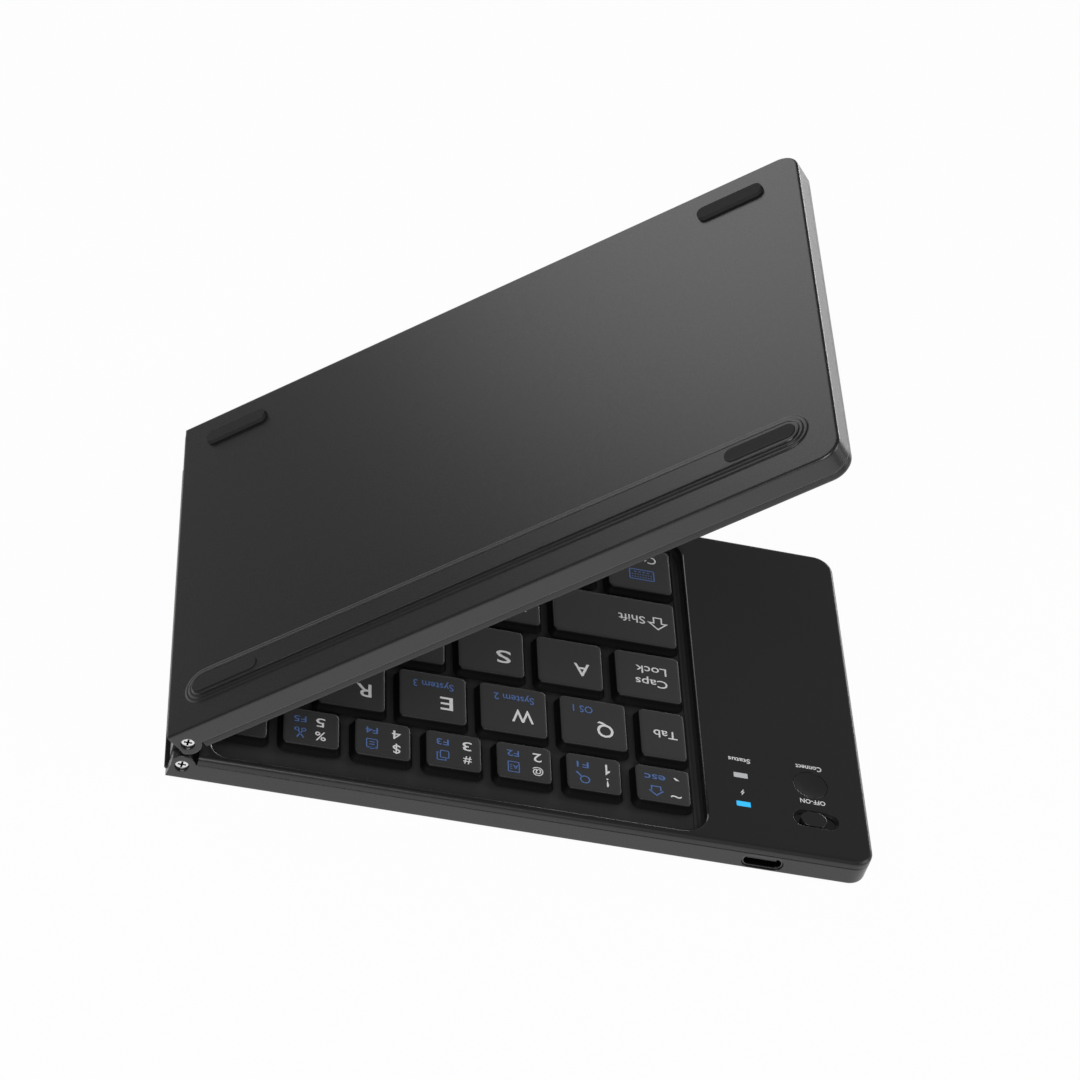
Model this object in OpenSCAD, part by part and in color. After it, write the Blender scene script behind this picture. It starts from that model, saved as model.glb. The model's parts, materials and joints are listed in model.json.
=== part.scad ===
// Folding keyboard: two equal halves, hinged on a narrow spine bar that runs front to back.
// Each half is drawn in its own half frame: x from the hinge end to the outer end, y from the
// rear edge (number row) to the front edge (space bar), z = 0 on the deck and the bottom below it.
// The left half keeps that frame, and the right half is its mirror image, swung up by fold_angle.

/* [Halves] */
// Length of one half, from its hinge end to its outer end
half_l = 152; // [140:1:180]
// Depth of a half, from the rear edge to the front edge
half_d = 97.1; // [94:0.1:110]
// Thickness of a half, from its deck to its bottom face
half_t = 6.6; // [6.5:0.1:8]
// Radius of the two outer corners, seen from above
corner_r = 4.5; // [2:0.5:8]
// Rounding of the edge round the deck
deck_round = 1; // [0.2:0.1:1.1]
// Rounding of the edge round the bottom face
base_round = 0.5; // [0.3:0.05:1]
// Rounding of the top cover's lower edge, which shows as the parting line
seam_round = 0.2; // [0.05:0.05:0.3]
// Thickness of the outer walls
wall = 1.2; // [1:0.1:1.6]
// Thickness of the bottom
floor_t = 1.2; // [1.1:0.1:1.6]
// Thickness of the deck over the control panel
deck_t = 1; // [0.8:0.1:1.2]
// Height of the top cover, down to the parting line
top_cover_h = 2; // [1.8:0.1:2.4]

/* [Pose] */
// Angle between the two decks at rest
fold_angle = 43.7; // [10:0.1:80]

/* [Hinge] */
// Depth of each pivot below its deck
pivot_drop = 3; // [2.9:0.1:3.1]
// Gap between the decks of the folded keyboard
closed_gap = 0.5; // [0.4:0.1:1]
// Gap between the hinge ends of the opened keyboard
open_gap = 0.2; // [0.1:0.1:0.6]
// Gap between a half's deck plane and the top of its ears
ear_drop = 0.1; // [0.05:0.05:0.3]
// Thickness of an ear
ear_t = 2.2; // [2:0.1:3]
// Depth of the flat at the outer side of an ear, measured from the hinge end
ear_flat = 0.9; // [0.6:0.1:1.2]
// Running gap between the spine and the trough round it
spine_gap = 0.4; // [0.3:0.05:0.6]
// Thickness of the friction washers
washer_t = 0.3; // [0.2:0.05:0.5]
// Running gap beside each washer
washer_gap = 0.1; // [0.05:0.05:0.2]
// Radius of the pivot shoulder of a hinge screw
shoulder_r = 1.05; // [0.9:0.05:1.2]
// Radius of a hinge screw's head
head_r = 1.35; // [1.3:0.05:1.5]
// Thickness of a hinge screw's head
head_t = 0.7; // [0.5:0.05:0.8]
// Radius of a hinge screw's thread
thread_r = 0.7; // [0.5:0.05:0.8]
// Length of a hinge screw's thread in the spine
thread_l = 5.4; // [4:0.2:8]
// Radial running clearance of the pivots
pivot_fit = 0.05; // [0.03:0.01:0.09]

/* [Key field] */
// Width of the border between the rear or front edge and the key well
well_rim = 2.1; // [2:0.1:2.6]
// Width of the border between the hinge trough and the key well
hinge_rim = 2.8; // [2.4:0.1:4]
// Length of the control panel at the outer end of the left half
panel_l = 36.9; // [34:0.1:38]
// Corner radius of the key well at its outer end
well_outer_r = 6; // [3:0.5:7]
// Corner radius of the key well at its hinge end
well_inner_r = 3; // [2:0.5:4]
// Rounding of the edge round the key well
well_round = 0.8; // [0.1:0.05:0.9]
// Distance from the well's outer side to the last key top
key_end_gap = 3.45; // [3.2:0.05:5]
// Distance from the well's hinge side to the first key top
key_start_gap = 2; // [1.9:0.1:2.4]
// Distance from the rear edge to the number row's key tops
key_rear = 9; // [7.6:0.1:9.4]
// Distance from the front edge to the last row's key tops
key_front = 8.34; // [7.6:0.01:9]
// Number of letter-key pitches along the left half's keys
cap_count = 5.666; // [5.6:0.001:5.7]
// Number of number-key pitches along the left half's keys
num_count = 6.592; // [6.55:0.001:6.65]
// Gap between the tops of two letter keys
cap_gap = 3.34; // [3:0.01:4]
// Gap between the tops of two number keys
num_gap = 3.57; // [3:0.01:4]
// Depth of a number key's top
num_d = 10.15; // [9.6:0.05:10.4]
// Gap between the number row's key tops and the next row's
num_row_gap = 3.15; // [2.9:0.05:3.6]
// Gap between the key tops of two letter rows
row_gap = 3.46; // [3.2:0.01:4.4]
// Length of the left shift key with its gap, in letter-key pitches
shift_count = 1.765; // [1.6:0.005:1.9]
// Length of the narrow keys at the outer ends with their gap, such as tab, in letter-key pitches
narrow_count = 0.745; // [0.7:0.005:0.8]
// Length of the enter key with its gap, in letter-key pitches
enter_count = 1.5; // [1.3:0.01:1.6]

/* [Key] */
// Travel of a key
key_travel = 1.3; // [0.8:0.1:1.4]
// Outward slope of a key's sides, from its top to its skirt
cap_flare = 0.9; // [0.5:0.1:1]
// Corner cut of a key's top
cap_corner = 0.9; // [0.4:0.1:1.2]
// Thickness of a key's top
cap_t = 0.9; // [0.7:0.05:1]
// Thickness of a key's walls
cap_wall = 0.8; // [0.6:0.05:0.9]
// Outer radius of the guide tube under a key
tube_r = 2.5; // [2.3:0.05:2.6]
// Inner radius of the guide tube
tube_bore_r = 2; // [1.8:0.05:2.05]
// Width of the catch round the foot of a guide tube
catch_w = 0.25; // [0.2:0.05:0.3]
// Radial running clearance of a guide tube in its sleeve
key_fit = 0.05; // [0.03:0.01:0.09]
// Base radius of a rubber dome
dome_r = 1.75; // [1.4:0.05:1.75]

/* [Board stack] */
// Thickness of the circuit boards
board_t = 0.8; // [0.6:0.1:1]
// Thickness of the key frame's plate
plate_t = 1.2; // [1:0.1:1.4]
// Width of the groove between the plate and the well's outer side
groove_w = 1.3; // [1.1:0.05:2.2]
// Depth of that groove below the plate
groove_depth = 0.6; // [0.3:0.1:0.8]
// Height of the lip along the groove
lip_h = 0.4; // [0.2:0.05:0.5]
// Width of that lip
lip_w = 0.6; // [0.3:0.05:0.8]
// Clearance between boards, frame and walls
seat_gap = 0.1; // [0.05:0.05:0.2]

/* [Feet] */
// Length of a foot
foot_l = 15.4; // [14:0.1:16]
// Width of a foot
foot_w = 3.6; // [3.4:0.1:5]
// Height of the feet below the bottom face
foot_h = 0.9; // [0.8:0.05:1.4]
// Slope of a foot's sides
foot_slope = 0.15; // [0.05:0.05:0.3]
// Height of the long ridge under the rear feet
ridge_h = 0.6; // [0.3:0.05:0.7]
// Width of the ridge at its root
ridge_w = 9.4; // [9:0.1:12]
// Number of steps up the ridge's sides
ridge_steps = 3; // [1:1:3]
// Width of each of those steps
ridge_step = 0.87; // [0.5:0.01:0.9]
// Slope of the side of each step
ridge_slope = 0.1; // [0.05:0.05:0.3]
// Distance from the hinge end to the ridge
ridge_in = 4.4; // [2:0.1:5]
// Distance from the outer end to the ridge
ridge_out = 5.8; // [5:0.1:6.5]
// Distance from the hinge end to the middle of the inner feet
foot_in = 14.1; // [13.8:0.1:16]
// Distance from the outer end to the middle of the outer feet
foot_out = 16; // [15.5:0.1:17]
// Distance from the rear edge to the middle of the rear feet
foot_rear = 11.2; // [10:0.1:12]
// Distance from the front edge to the middle of the front feet
foot_front = 7.5; // [6:0.1:9]

/* [Cover screws] */
// Radius of a cover screw's thread
cover_thread_r = 0.7; // [0.5:0.05:0.8]
// Radius of a cover screw's head
cover_head_r = 1.25; // [1.1:0.05:1.3]
// Thickness of a cover screw's head
cover_head_t = 0.55; // [0.4:0.05:0.6]
// Thickness of the bottom left over a cover screw's head
cover_seat_t = 0.55; // [0.5:0.05:0.6]
// Distance from the middle of an inner foot to its screw, away from the hinge
inner_screw = 6.2; // [6:0.1:6.4]
// Distance from the middle of an outer foot of the left half to its screw, towards the hinge
panel_screw = 5; // [4.6:0.1:5]
// Distance from the middle of an outer foot of the right half to its screw, away from the hinge
outer_screw = 0.9; // [0.6:0.1:1.1]

/* [Control panel] */
// Distance from the outer end to the middle of the two lights
light_out = 28.35; // [26:0.05:29]
// Distance from the rear edge to the status light
status_y = 20.8; // [18:0.1:22]
// Distance from the rear edge to the charge light
charge_y = 12.3; // [10:0.1:14]
// Width of a light
light_w = 3.2; // [2:0.1:3.4]
// Depth of a light
light_d = 1.5; // [1:0.1:1.8]
// Distance from the outer end to the middle of the connect button
button_out = 12.5; // [10:0.1:14]
// Distance from the rear edge to the middle of the connect button
button_y = 21.3; // [20:0.1:24]
// Radius of the connect button
button_r = 3.8; // [3:0.1:4.5]
// Travel of the connect button
button_travel = 0.4; // [0.2:0.05:0.4]
// Distance from the outer end to the middle of the power switch recess
switch_out = 12.2; // [10:0.1:12.8]
// Distance from the rear edge to the middle of the power switch recess
switch_y = 11.1; // [9:0.1:11.6]
// Length of the power switch recess
switch_l = 10.3; // [9.5:0.1:11]
// Width of the power switch recess
switch_w = 5; // [4.4:0.1:5.4]
// Slope of that recess's sides, from the deck to its floor
recess_slope = 0.35; // [0.1:0.05:0.4]
// Length of the power slider's knob
slider_l = 5.8; // [4.6:0.1:6]
// Travel of the power slider from on to off
slider_travel = 2; // [1.6:0.1:2.2]
// Distance from the middle of the recess to the knob at on
slider_rest = 0.45; // [0.4:0.05:0.9]

/* [Charging port] */
// Distance from the outer end to the middle of the port
port_out = 23.9; // [23.5:0.1:25]
// Depth of the port's middle below the deck
port_drop = 4.3; // [4.2:0.05:4.6]
// Width of the port's metal shell
port_w = 8.94; // [8.9:0.02:9]
// Height of the port's metal shell
port_h = 3.16; // [3.1:0.02:3.2]
// Length of the port's metal shell
port_l = 7.35; // [6.8:0.05:7.8]
// Thickness of the port's metal shell
port_wall = 0.3; // [0.2:0.05:0.35]
// Gap between the shell and the opening in the rear wall
port_gap = 0.15; // [0.05:0.05:0.2]

/* [Battery] */
// Width of the battery cell
battery_w = 29; // [20:1:30]
// Clearance between the cell and what is in front of it and behind it
battery_gap = 3; // [1:0.5:6]
// Thickness of the battery cell
battery_t = 3; // [2:0.1:3.4]

/* [Hidden] */
$fn = 64;

left = 0;
right = 1;

// Hinge
link_l = 2*pivot_drop + closed_gap;
pivot_x = (link_l - open_gap)/2;
ear_r = pivot_drop - ear_drop;
spine_r = ear_r - spine_gap;
trough_x = pivot_x + ear_r;
cover_gap = 0.1;
deck_x = trough_x + cover_gap;
trough_wall = 0.8;
cavity_x = trough_x + trough_wall;
lip_chamfer = 0.4;
spine_y = ear_t + washer_gap + washer_t;
head_sink = 0.55;
head_room = 0.15;
washer_inset = 0.2;
washer_r = spine_r - washer_inset;
thread_fit = 0.02;

// Place of the right half: its pivot sits on the spine's upper pivot
right_x = pivot_x - (pivot_x*cos(fold_angle) - pivot_drop*sin(fold_angle));
right_z = link_l - pivot_drop - (pivot_x*sin(fold_angle) + pivot_drop*cos(fold_angle));

// The part's origin: below the middle of the box round the resting keyboard, on the surface it
// stands on. The right half's bottom edge at the hinge is the point furthest from the left half.
hinge_edge_x = right_x - half_t*sin(fold_angle)
             + lip_chamfer*min(sin(fold_angle), cos(fold_angle));
origin_x = (hinge_edge_x + half_l)/2;
origin_y = half_d/2;
origin_z = -half_t - foot_h;

// Board stack, measured as z in the half frame
floor_z = -half_t + floor_t;
board_z = floor_z + board_t;
plate_z = board_z + plate_t;
skirt_room = 0.1;
skirt_z = plate_z + key_travel + skirt_room;
skirt_h = -skirt_z;
sleeve_room = 0.25;
sleeve_z = -cap_t - key_travel - sleeve_room;
catch_lip_t = 0.3;
catch_t = 0.3;
catch_room = 0.1;
catch_z = sleeve_z - catch_lip_t - catch_room;
tube_z = catch_z - catch_t;
catch_r = tube_r + catch_w;
sleeve_bore_r = catch_r + key_fit;
sleeve_wall = 0.6;
sleeve_r = sleeve_bore_r + sleeve_wall;
boss_l = 1.75;
dome_z = -cap_t - boss_l;
dome_gap = 0.05;
boss_r = 0.9;
double_guide_w = 22;
guide_share = 0.32;

// Key well
function well_x0(side) = deck_x + hinge_rim - cover_gap;
function well_x1(side) = half_l - (side == left ? panel_l : well_rim);
well_y0 = well_rim;
well_y1 = half_d - well_rim;
function key_x0(side) = well_x0(side) + key_start_gap;
function key_x1(side) = well_x1(side) - key_end_gap;
frame_wall = 0.8;

// Key pitches: along a row from the left half's field, and from row to row from the depth of a half
key_field = key_x1(left) - key_x0(left);
cap_pitch = key_field/cap_count;
num_pitch = key_field/num_count;
cap_w = cap_pitch - cap_gap;
num_w = num_pitch - num_gap;
shift_w = shift_count*cap_pitch - cap_gap;
narrow_w = narrow_count*cap_pitch - cap_gap;
enter_w = enter_count*cap_pitch - cap_gap;
letter_rows = 4;
num_row_pitch = num_d + num_row_gap;
row_pitch = (half_d - key_rear - key_front - num_row_pitch + row_gap)/letter_rows;
cap_d = row_pitch - row_gap;

// Keys: each row starts at the outer end with one key of its own width, goes on at the pitch, and
// its last key fills up to the hinge side.
row_names = ["number", "top", "home", "lower", "space"];
left_names = [
    ["key_tilde", "key_1", "key_2", "key_3", "key_4", "key_5", "key_6"],
    ["key_tab", "key_q", "key_w", "key_e", "key_r", "key_t"],
    ["key_caps", "key_a", "key_s", "key_d", "key_f", "key_g"],
    ["key_shift", "key_z", "key_x", "key_c", "key_v"],
    ["key_ctrl", "key_fn", "key_option", "key_alt", "key_space"]
];
right_counts = [8, 8, 7, 8, 6];
outer_w = [
    [num_w, narrow_w, cap_w, shift_w, cap_w],
    [shift_w, narrow_w, enter_w, narrow_w, narrow_w]
];
function key_count(side, row) = side == left ? len(left_names[row]) : right_counts[row];
function row_cap(row) = row == 0 ? num_w : cap_w;
function row_step(row) = row == 0 ? num_pitch : cap_pitch;
function key_gap(row) = row == 0 ? num_gap : cap_gap;
function row_depth(row) = row == 0 ? num_d : cap_d;
function row_y(row) = key_rear + (row == 0 ? 0 : num_row_pitch + (row - 1)*row_pitch);
function key_right(side, row, i) = i == 0 ? key_x1(side)
    : key_x1(side) - outer_w[side][row] - key_gap(row) - (i - 1)*row_step(row);
function key_left(side, row, i) = i == 0 ? key_x1(side) - outer_w[side][row]
    : i == key_count(side, row) - 1 ? key_x0(side)
    : key_right(side, row, i) - row_cap(row);
function key_w(side, row, i) = key_right(side, row, i) - key_left(side, row, i);
function key_mid(side, row, i) = [
    (key_right(side, row, i) + key_left(side, row, i))/2,
    row_y(row) + row_depth(row)/2
];
function guides(w) = w > double_guide_w ? [-guide_share*w, 0, guide_share*w] : [0];

// Cover screws: under the feet, each clear of the key sleeves and of what the panel holds
screw_in = foot_in + inner_screw;
screw_out = [half_l - foot_out - panel_screw, half_l - foot_out + outer_screw];
screw_y = [foot_rear, half_d - foot_front];
function screw_spots(side) = [
    for (x = [screw_in, screw_out[side]], y = screw_y) [x, y]
];
screw_boss_r = 1.6;
screw_boss_bore = cover_thread_r + thread_fit;
screw_cap = 0.3;
screw_room = 0.1;
screw_end_gap = 0.2;
screw_head_z = floor_z - cover_seat_t;

// Control panel
panel_x = well_x1(left) + wall;
light_x = half_l - light_out;
button_x = half_l - button_out;
switch_x = half_l - switch_out;
port_x = half_l - port_out;
board_front = 29;
panel_fit = 0.1;
lens_fit = 0.05;
lens_t = 0.2;
lens_flange = 0.4;
pad_t = 0.6;
pad_rim = 0.8;
recess_depth = 0.9;
knob_drop = 0.05;
slider_x = switch_x - slider_rest;
slider_w = switch_w - 1;
stem_l = 1.8;
stem_w = 1;
stem_fit = 0.1;
stem_end_gap = 0.2;
stem_z = board_z + 1.5;
switch_body_w = 3.6;
switch_body_z = board_z + 2.1;
button_flange_t = 0.35;
button_flange = 0.7;
button_gap = 0.05;
button_stem_r = 1.5;
stem_gap = 0.1;
tact_z = board_z + 1.6;
led_z = board_z + 0.6;
chip_z = board_z + 1.2;
port_inset = 0.3;
port_board_gap = 0.3;
battery_y = board_front + battery_gap;
battery_l = screw_y[1] - screw_boss_r - battery_gap - battery_y;

// Flex cable
flex_w = 16;
flex_t = 0.2;
flex_y = half_d/2 - flex_w/2;
flex_room = 0.15;

// ---------------------------------------------------------------- frames

module in_frame() {
    translate([-origin_x, -origin_y, -origin_z]) children();
}

module on_side(side) {
    if (side == left)
        children();
    else
        translate([right_x, 0, right_z])
            rotate([0, -fold_angle, 0])
                mirror([0, 0, 1])
                    children();
}

module both_ends() {
    children();
    translate([0, half_d, 0]) mirror([0, 1, 0]) children();
}

// ---------------------------------------------------------------- shapes

// How far pieces of one solid reach into each other where they join
merge = 0.1;

arc_steps = 5;
function arc(x, z, r, from, to) = [
    for (i = [0 : arc_steps])
        let (angle = from + (to - from)*i/arc_steps)
            [x + r*cos(angle), z + r*sin(angle)]
];
// The outer side of a rounded edge profile, from bottom to top
function side_profile(x, z0, z1, round0, round1) = concat(
    round0 > 0 ? arc(x - round0, z0 + round0, round0, -90, 0) : [[x, z0]],
    round1 > 0 ? arc(x - round1, z1 - round1, round1, 0, 90) : [[x, z1]]
);
function mirrored(points) = [for (i = [len(points) - 1 : -1 : 0]) [-points[i][0], points[i][1]]];

module along_x(length) {
    rotate([90, 0, 90]) linear_extrude(height = length) children();
}
module along_y(length) {
    translate([0, length, 0]) rotate([90, 0, 0]) linear_extrude(height = length) children();
}

// A slab with a square hinge end, two round corners of radius r at its outer end, and rounded edges
module slab(x0, x1, y0, y1, z0, z1, r, round0 = 0, round1 = 0) {
    middle = (y0 + y1)/2;
    depth = y1 - y0;
    across = side_profile(depth/2, z0, z1, round0, round1);
    end = side_profile(x1, z0, z1, round0, round1);
    corner = side_profile(r, z0, z1, round0, round1);
    translate([x0, middle, 0])
        along_x(x1 - r - x0) polygon(concat(across, mirrored(across)));
    translate([0, y0 + r, 0])
        along_y(depth - 2*r) polygon(concat([[x1 - r - 1, z0]], end, [[x1 - r - 1, z1]]));
    for (y = [y0 + r, y1 - r])
        translate([x1 - r, y, 0])
            rotate_extrude() polygon(concat([[0, z0]], corner, [[0, z1]]));
}

// The inside of the key well, widened at its top edge by flare, with different corner radii
module well_cut(x0, x1, y0, y1, z0, z1, r0, r1, flare = 0) {
    depth = y1 - y0;
    function rim(x) = flare > 0
        ? concat([[x, z0]],
                 [for (i = [0 : arc_steps])
                     let (angle = 180 - 90*i/arc_steps)
                         [x + flare + flare*cos(angle), z1 - flare + flare*sin(angle)]],
                 [[x + flare, z1 + 1]])
        : [[x, z0], [x, z1 + 1]];
    across = rim(depth/2);
    translate([x0 + r0, (y0 + y1)/2, 0])
        along_x(x1 - r1 - x0 - r0) polygon(concat(across, mirrored(across)));
    translate([x1 - r1, y0 + r1, 0])
        along_y(depth - 2*r1) polygon(concat([[-1, z0]], rim(r1), [[-1, z1 + 1]]));
    translate([x0 + r0, y0 + r0, 0])
        along_y(depth - 2*r0) polygon(mirrored(concat([[-1, z0]], rim(r0), [[-1, z1 + 1]])));
    for (spot = [[x0 + r0, y0 + r0, r0], [x0 + r0, y1 - r0, r0],
                 [x1 - r1, y0 + r1, r1], [x1 - r1, y1 - r1, r1]])
        translate([spot[0], spot[1], 0])
            rotate_extrude() polygon(concat([[0, z0]], rim(spot[2]), [[0, z1 + 1]]));
}

// A flat piece inside a half that clears its walls and its outer corners
module inner_slab(x0, x1, z0, z1) {
    slab(x0, x1, wall + seat_gap, half_d - wall - seat_gap, z0, z1, corner_r - wall);
}

// A bar with round ends, flat on z0 and z1, centred on x and y
module stadium(l, w, z0, z1) {
    translate([-(l - w)/2, -w/2, z0]) cube([l - w, w, z1 - z0]);
    for (x = [-1, 1])
        translate([x*(l - w)/2, 0, z0]) cylinder(r = w/2, h = z1 - z0);
}

// A bar with round ends whose sides slope in by slope from z1 down to z0
module sloped_stadium(l, w, z0, z1, slope) {
    profile = [[-w/2, z1], [-w/2 + slope, z0], [w/2 - slope, z0], [w/2, z1]];
    translate([-(l - w)/2, 0, 0]) along_x(l - w) polygon(profile);
    for (x = [-1, 1])
        translate([x*(l - w)/2, 0, z0])
            cylinder(r1 = w/2 - slope, r2 = w/2, h = z1 - z0);
}

module pivot_cylinder(r, y0, y1, z = -pivot_drop) {
    translate([pivot_x, y0, z]) rotate([-90, 0, 0]) cylinder(r = r, h = y1 - y0);
}

// ---------------------------------------------------------------- keys

// The sloped block of a key: straight sides that flare outward, and cut corners
module sloped_block(w, d, h, flare, corner) {
    reach = w + d;
    module wedge(half) {
        translate([0, -reach, 0])
            along_y(2*reach)
                polygon([[-half, 0], [half, 0], [half + flare, -h], [-half - flare, -h]]);
    }
    intersection() {
        wedge(w/2);
        rotate([0, 0, 90]) wedge(d/2);
        rotate([0, 0, 45]) wedge(((w + d)/2 - corner)/sqrt(2));
        rotate([0, 0, -45]) wedge(((w + d)/2 - corner)/sqrt(2));
    }
}

// A key: a hollow cap with a guide tube whose catch holds it in the frame's sleeve
module key(w, d) {
    difference() {
        sloped_block(w, d, skirt_h, cap_flare, cap_corner);
        translate([0, 0, -cap_t])
            sloped_block(w - 2*cap_wall, d - 2*cap_wall, skirt_h, cap_flare, cap_corner/2);
    }
    for (x = guides(w))
        translate([x, 0, 0]) {
            difference() {
                union() {
                    translate([0, 0, tube_z]) cylinder(r = tube_r, h = -cap_t/2 - tube_z);
                    translate([0, 0, tube_z]) cylinder(r = catch_r, h = catch_t);
                }
                translate([0, 0, tube_z - 1]) cylinder(r = tube_bore_r, h = -cap_t - tube_z + 1);
            }
            translate([0, 0, dome_z + dome_gap]) cylinder(r = boss_r, h = -cap_t/2 - dome_z);
        }
}

module key_at(side, row, i) {
    middle = key_mid(side, row, i);
    translate([middle[0], middle[1], 0]) key(key_w(side, row, i), row_depth(row));
}

module left_key(row, i) {
    color("#2b2b2d") in_frame() key_at(left, row, i);
}

module right_row(row) {
    color("#2b2b2d")
        in_frame() on_side(right)
            for (i = [0 : key_count(right, row) - 1])
                key_at(right, row, i);
}

// ---------------------------------------------------------------- covers

// What the hinge end gives up: the trough round the spine, and the space beside the ears
module hinge_clearance(y0, y1) {
    pivot_cylinder(ear_r, y0, y1);
    translate([-1, y0, -pivot_drop - ear_r]) cube([pivot_x + 1, y1 - y0, half_t]);
    translate([-1, y0, -pivot_drop]) cube([trough_x + 1, y1 - y0, half_t]);
}

module ear() {
    difference() {
        intersection() {
            union() {
                pivot_cylinder(ear_r, 0, ear_t);
                translate([0, 0, -half_t]) cube([pivot_x, ear_t, half_t - pivot_drop]);
                translate([pivot_x, 0, -half_t])
                    cube([deck_x - pivot_x, ear_t, half_t - top_cover_h]);
            }
            along_y(ear_t)
                polygon([[ear_flat, 1], [ear_flat, -pivot_drop], [lip_chamfer, -half_t],
                         [trough_x + 1, -half_t], [trough_x + 1, 1]]);
            slab(-1, half_l, 0, half_d, -half_t, 1, corner_r, base_round, 0);
        }
        pivot_cylinder(shoulder_r + pivot_fit, -1, ear_t + 1);
        pivot_cylinder(head_r + head_room, -1, head_sink + head_t + pivot_fit);
    }
}

module screw_holes(side) {
    for (spot = screw_spots(side)) {
        base = spot[1] < half_d/2 ? -half_t - ridge_h : -half_t;
        translate([spot[0], spot[1], base - 1])
            cylinder(r = cover_head_r + screw_room, h = screw_head_z - base + 1);
        translate([spot[0], spot[1], base - 1])
            cylinder(r = cover_thread_r + screw_room, h = floor_z - base + 2);
    }
}

module port_opening() {
    translate([port_x, 0, -port_drop])
        rotate([90, 0, 0])
            stadium(port_w + 2*port_gap, port_h + 2*port_gap, -wall - 1, 1);
    translate([port_x - port_w/2 - port_gap, wall/2, -port_drop - port_h/2 - seat_gap])
        cube([port_w + 2*port_gap, port_l, floor_t]);
}

// The long ridge under the rear feet, stepped all round up to its flat top
module ridge() {
    length = half_l - ridge_out - ridge_in;
    step_h = ridge_h/ridge_steps;
    translate([ridge_in + length/2, foot_rear, 0])
        for (i = [0 : ridge_steps - 1])
            sloped_stadium(length - 2*i*ridge_step, ridge_w - 2*i*ridge_step,
                           -half_t - (i + 1)*step_h, -half_t - i*step_h + merge, ridge_slope);
}

module bottom_cover(side) {
    color("#3b3b3d") in_frame() on_side(side) {
        difference() {
            union() {
                slab(0, half_l, 0, half_d, -half_t, -top_cover_h, corner_r, base_round, 0);
                ridge();
            }
            slab(cavity_x, half_l - wall, wall, half_d - wall, floor_z, 1, corner_r - wall);
            hinge_clearance(ear_t, half_d - ear_t);
            both_ends()
                translate([-1, -1, -half_t - 1]) cube([trough_x + 1, ear_t + 1, half_t + 2]);
            translate([0, ear_t, 0]) along_y(half_d - 2*ear_t)
                polygon([[-1, -half_t - 1], [lip_chamfer + 1, -half_t - 1],
                         [-1, -half_t + lip_chamfer + 1]]);
            translate([trough_x - 1, flex_y - flex_room, -pivot_drop - flex_t/2 - flex_room])
                cube([trough_wall + 2, flex_w + 2*flex_room, flex_t + 2*flex_room]);
            screw_holes(side);
            if (side == left) port_opening();
        }
        both_ends() ear();
    }
}

module top_cover(side) {
    color("#262628") in_frame() on_side(side)
        difference() {
            union() {
                difference() {
                    slab(deck_x, half_l, 0, half_d, -top_cover_h, 0, corner_r, seam_round,
                         deck_round);
                    well_cut(well_x0(side), well_x1(side), well_y0, well_y1, -half_t, 0,
                             well_inner_r, well_outer_r, well_round);
                    if (side == left)
                        slab(panel_x, half_l - wall, wall, half_d - wall, -half_t, -deck_t,
                             corner_r - wall);
                }
                if (side == left) {
                    translate([switch_x, switch_y, 0])
                        stadium(switch_l + 2*pad_rim, switch_w + 2*pad_rim,
                                -deck_t - pad_t, -deck_t + merge);
                    for (y = screw_y)
                        translate([screw_out[left], y, floor_z])
                            cylinder(r = screw_boss_r, h = -deck_t/2 - floor_z);
                }
            }
            if (side == left) {
                panel_openings();
                for (y = screw_y)
                    translate([screw_out[left], y, -half_t])
                        cylinder(r = screw_boss_bore, h = half_t - deck_t - screw_cap);
            }
        }
}

module panel_openings() {
    for (y = [status_y, charge_y])
        translate([light_x - light_w/2, y - light_d/2, -half_t]) cube([light_w, light_d, half_t + 1]);
    translate([button_x, button_y, -half_t]) cylinder(r = button_r + panel_fit, h = half_t + 1);
    translate([switch_x, switch_y, 0])
        sloped_stadium(switch_l + 2*recess_slope, switch_w + 2*recess_slope,
                       -recess_depth, recess_depth, 2*recess_slope);
    stem_slot(-half_t);
}

// The slot in which the power slider's stem travels, from z0 up
module stem_slot(z0) {
    translate([slider_x - stem_l/2 - stem_end_gap, switch_y - stem_w/2 - stem_fit, z0])
        cube([stem_l + slider_travel + 2*stem_end_gap, stem_w + 2*stem_fit, half_t]);
}

// ---------------------------------------------------------------- key frame, boards and domes

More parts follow.
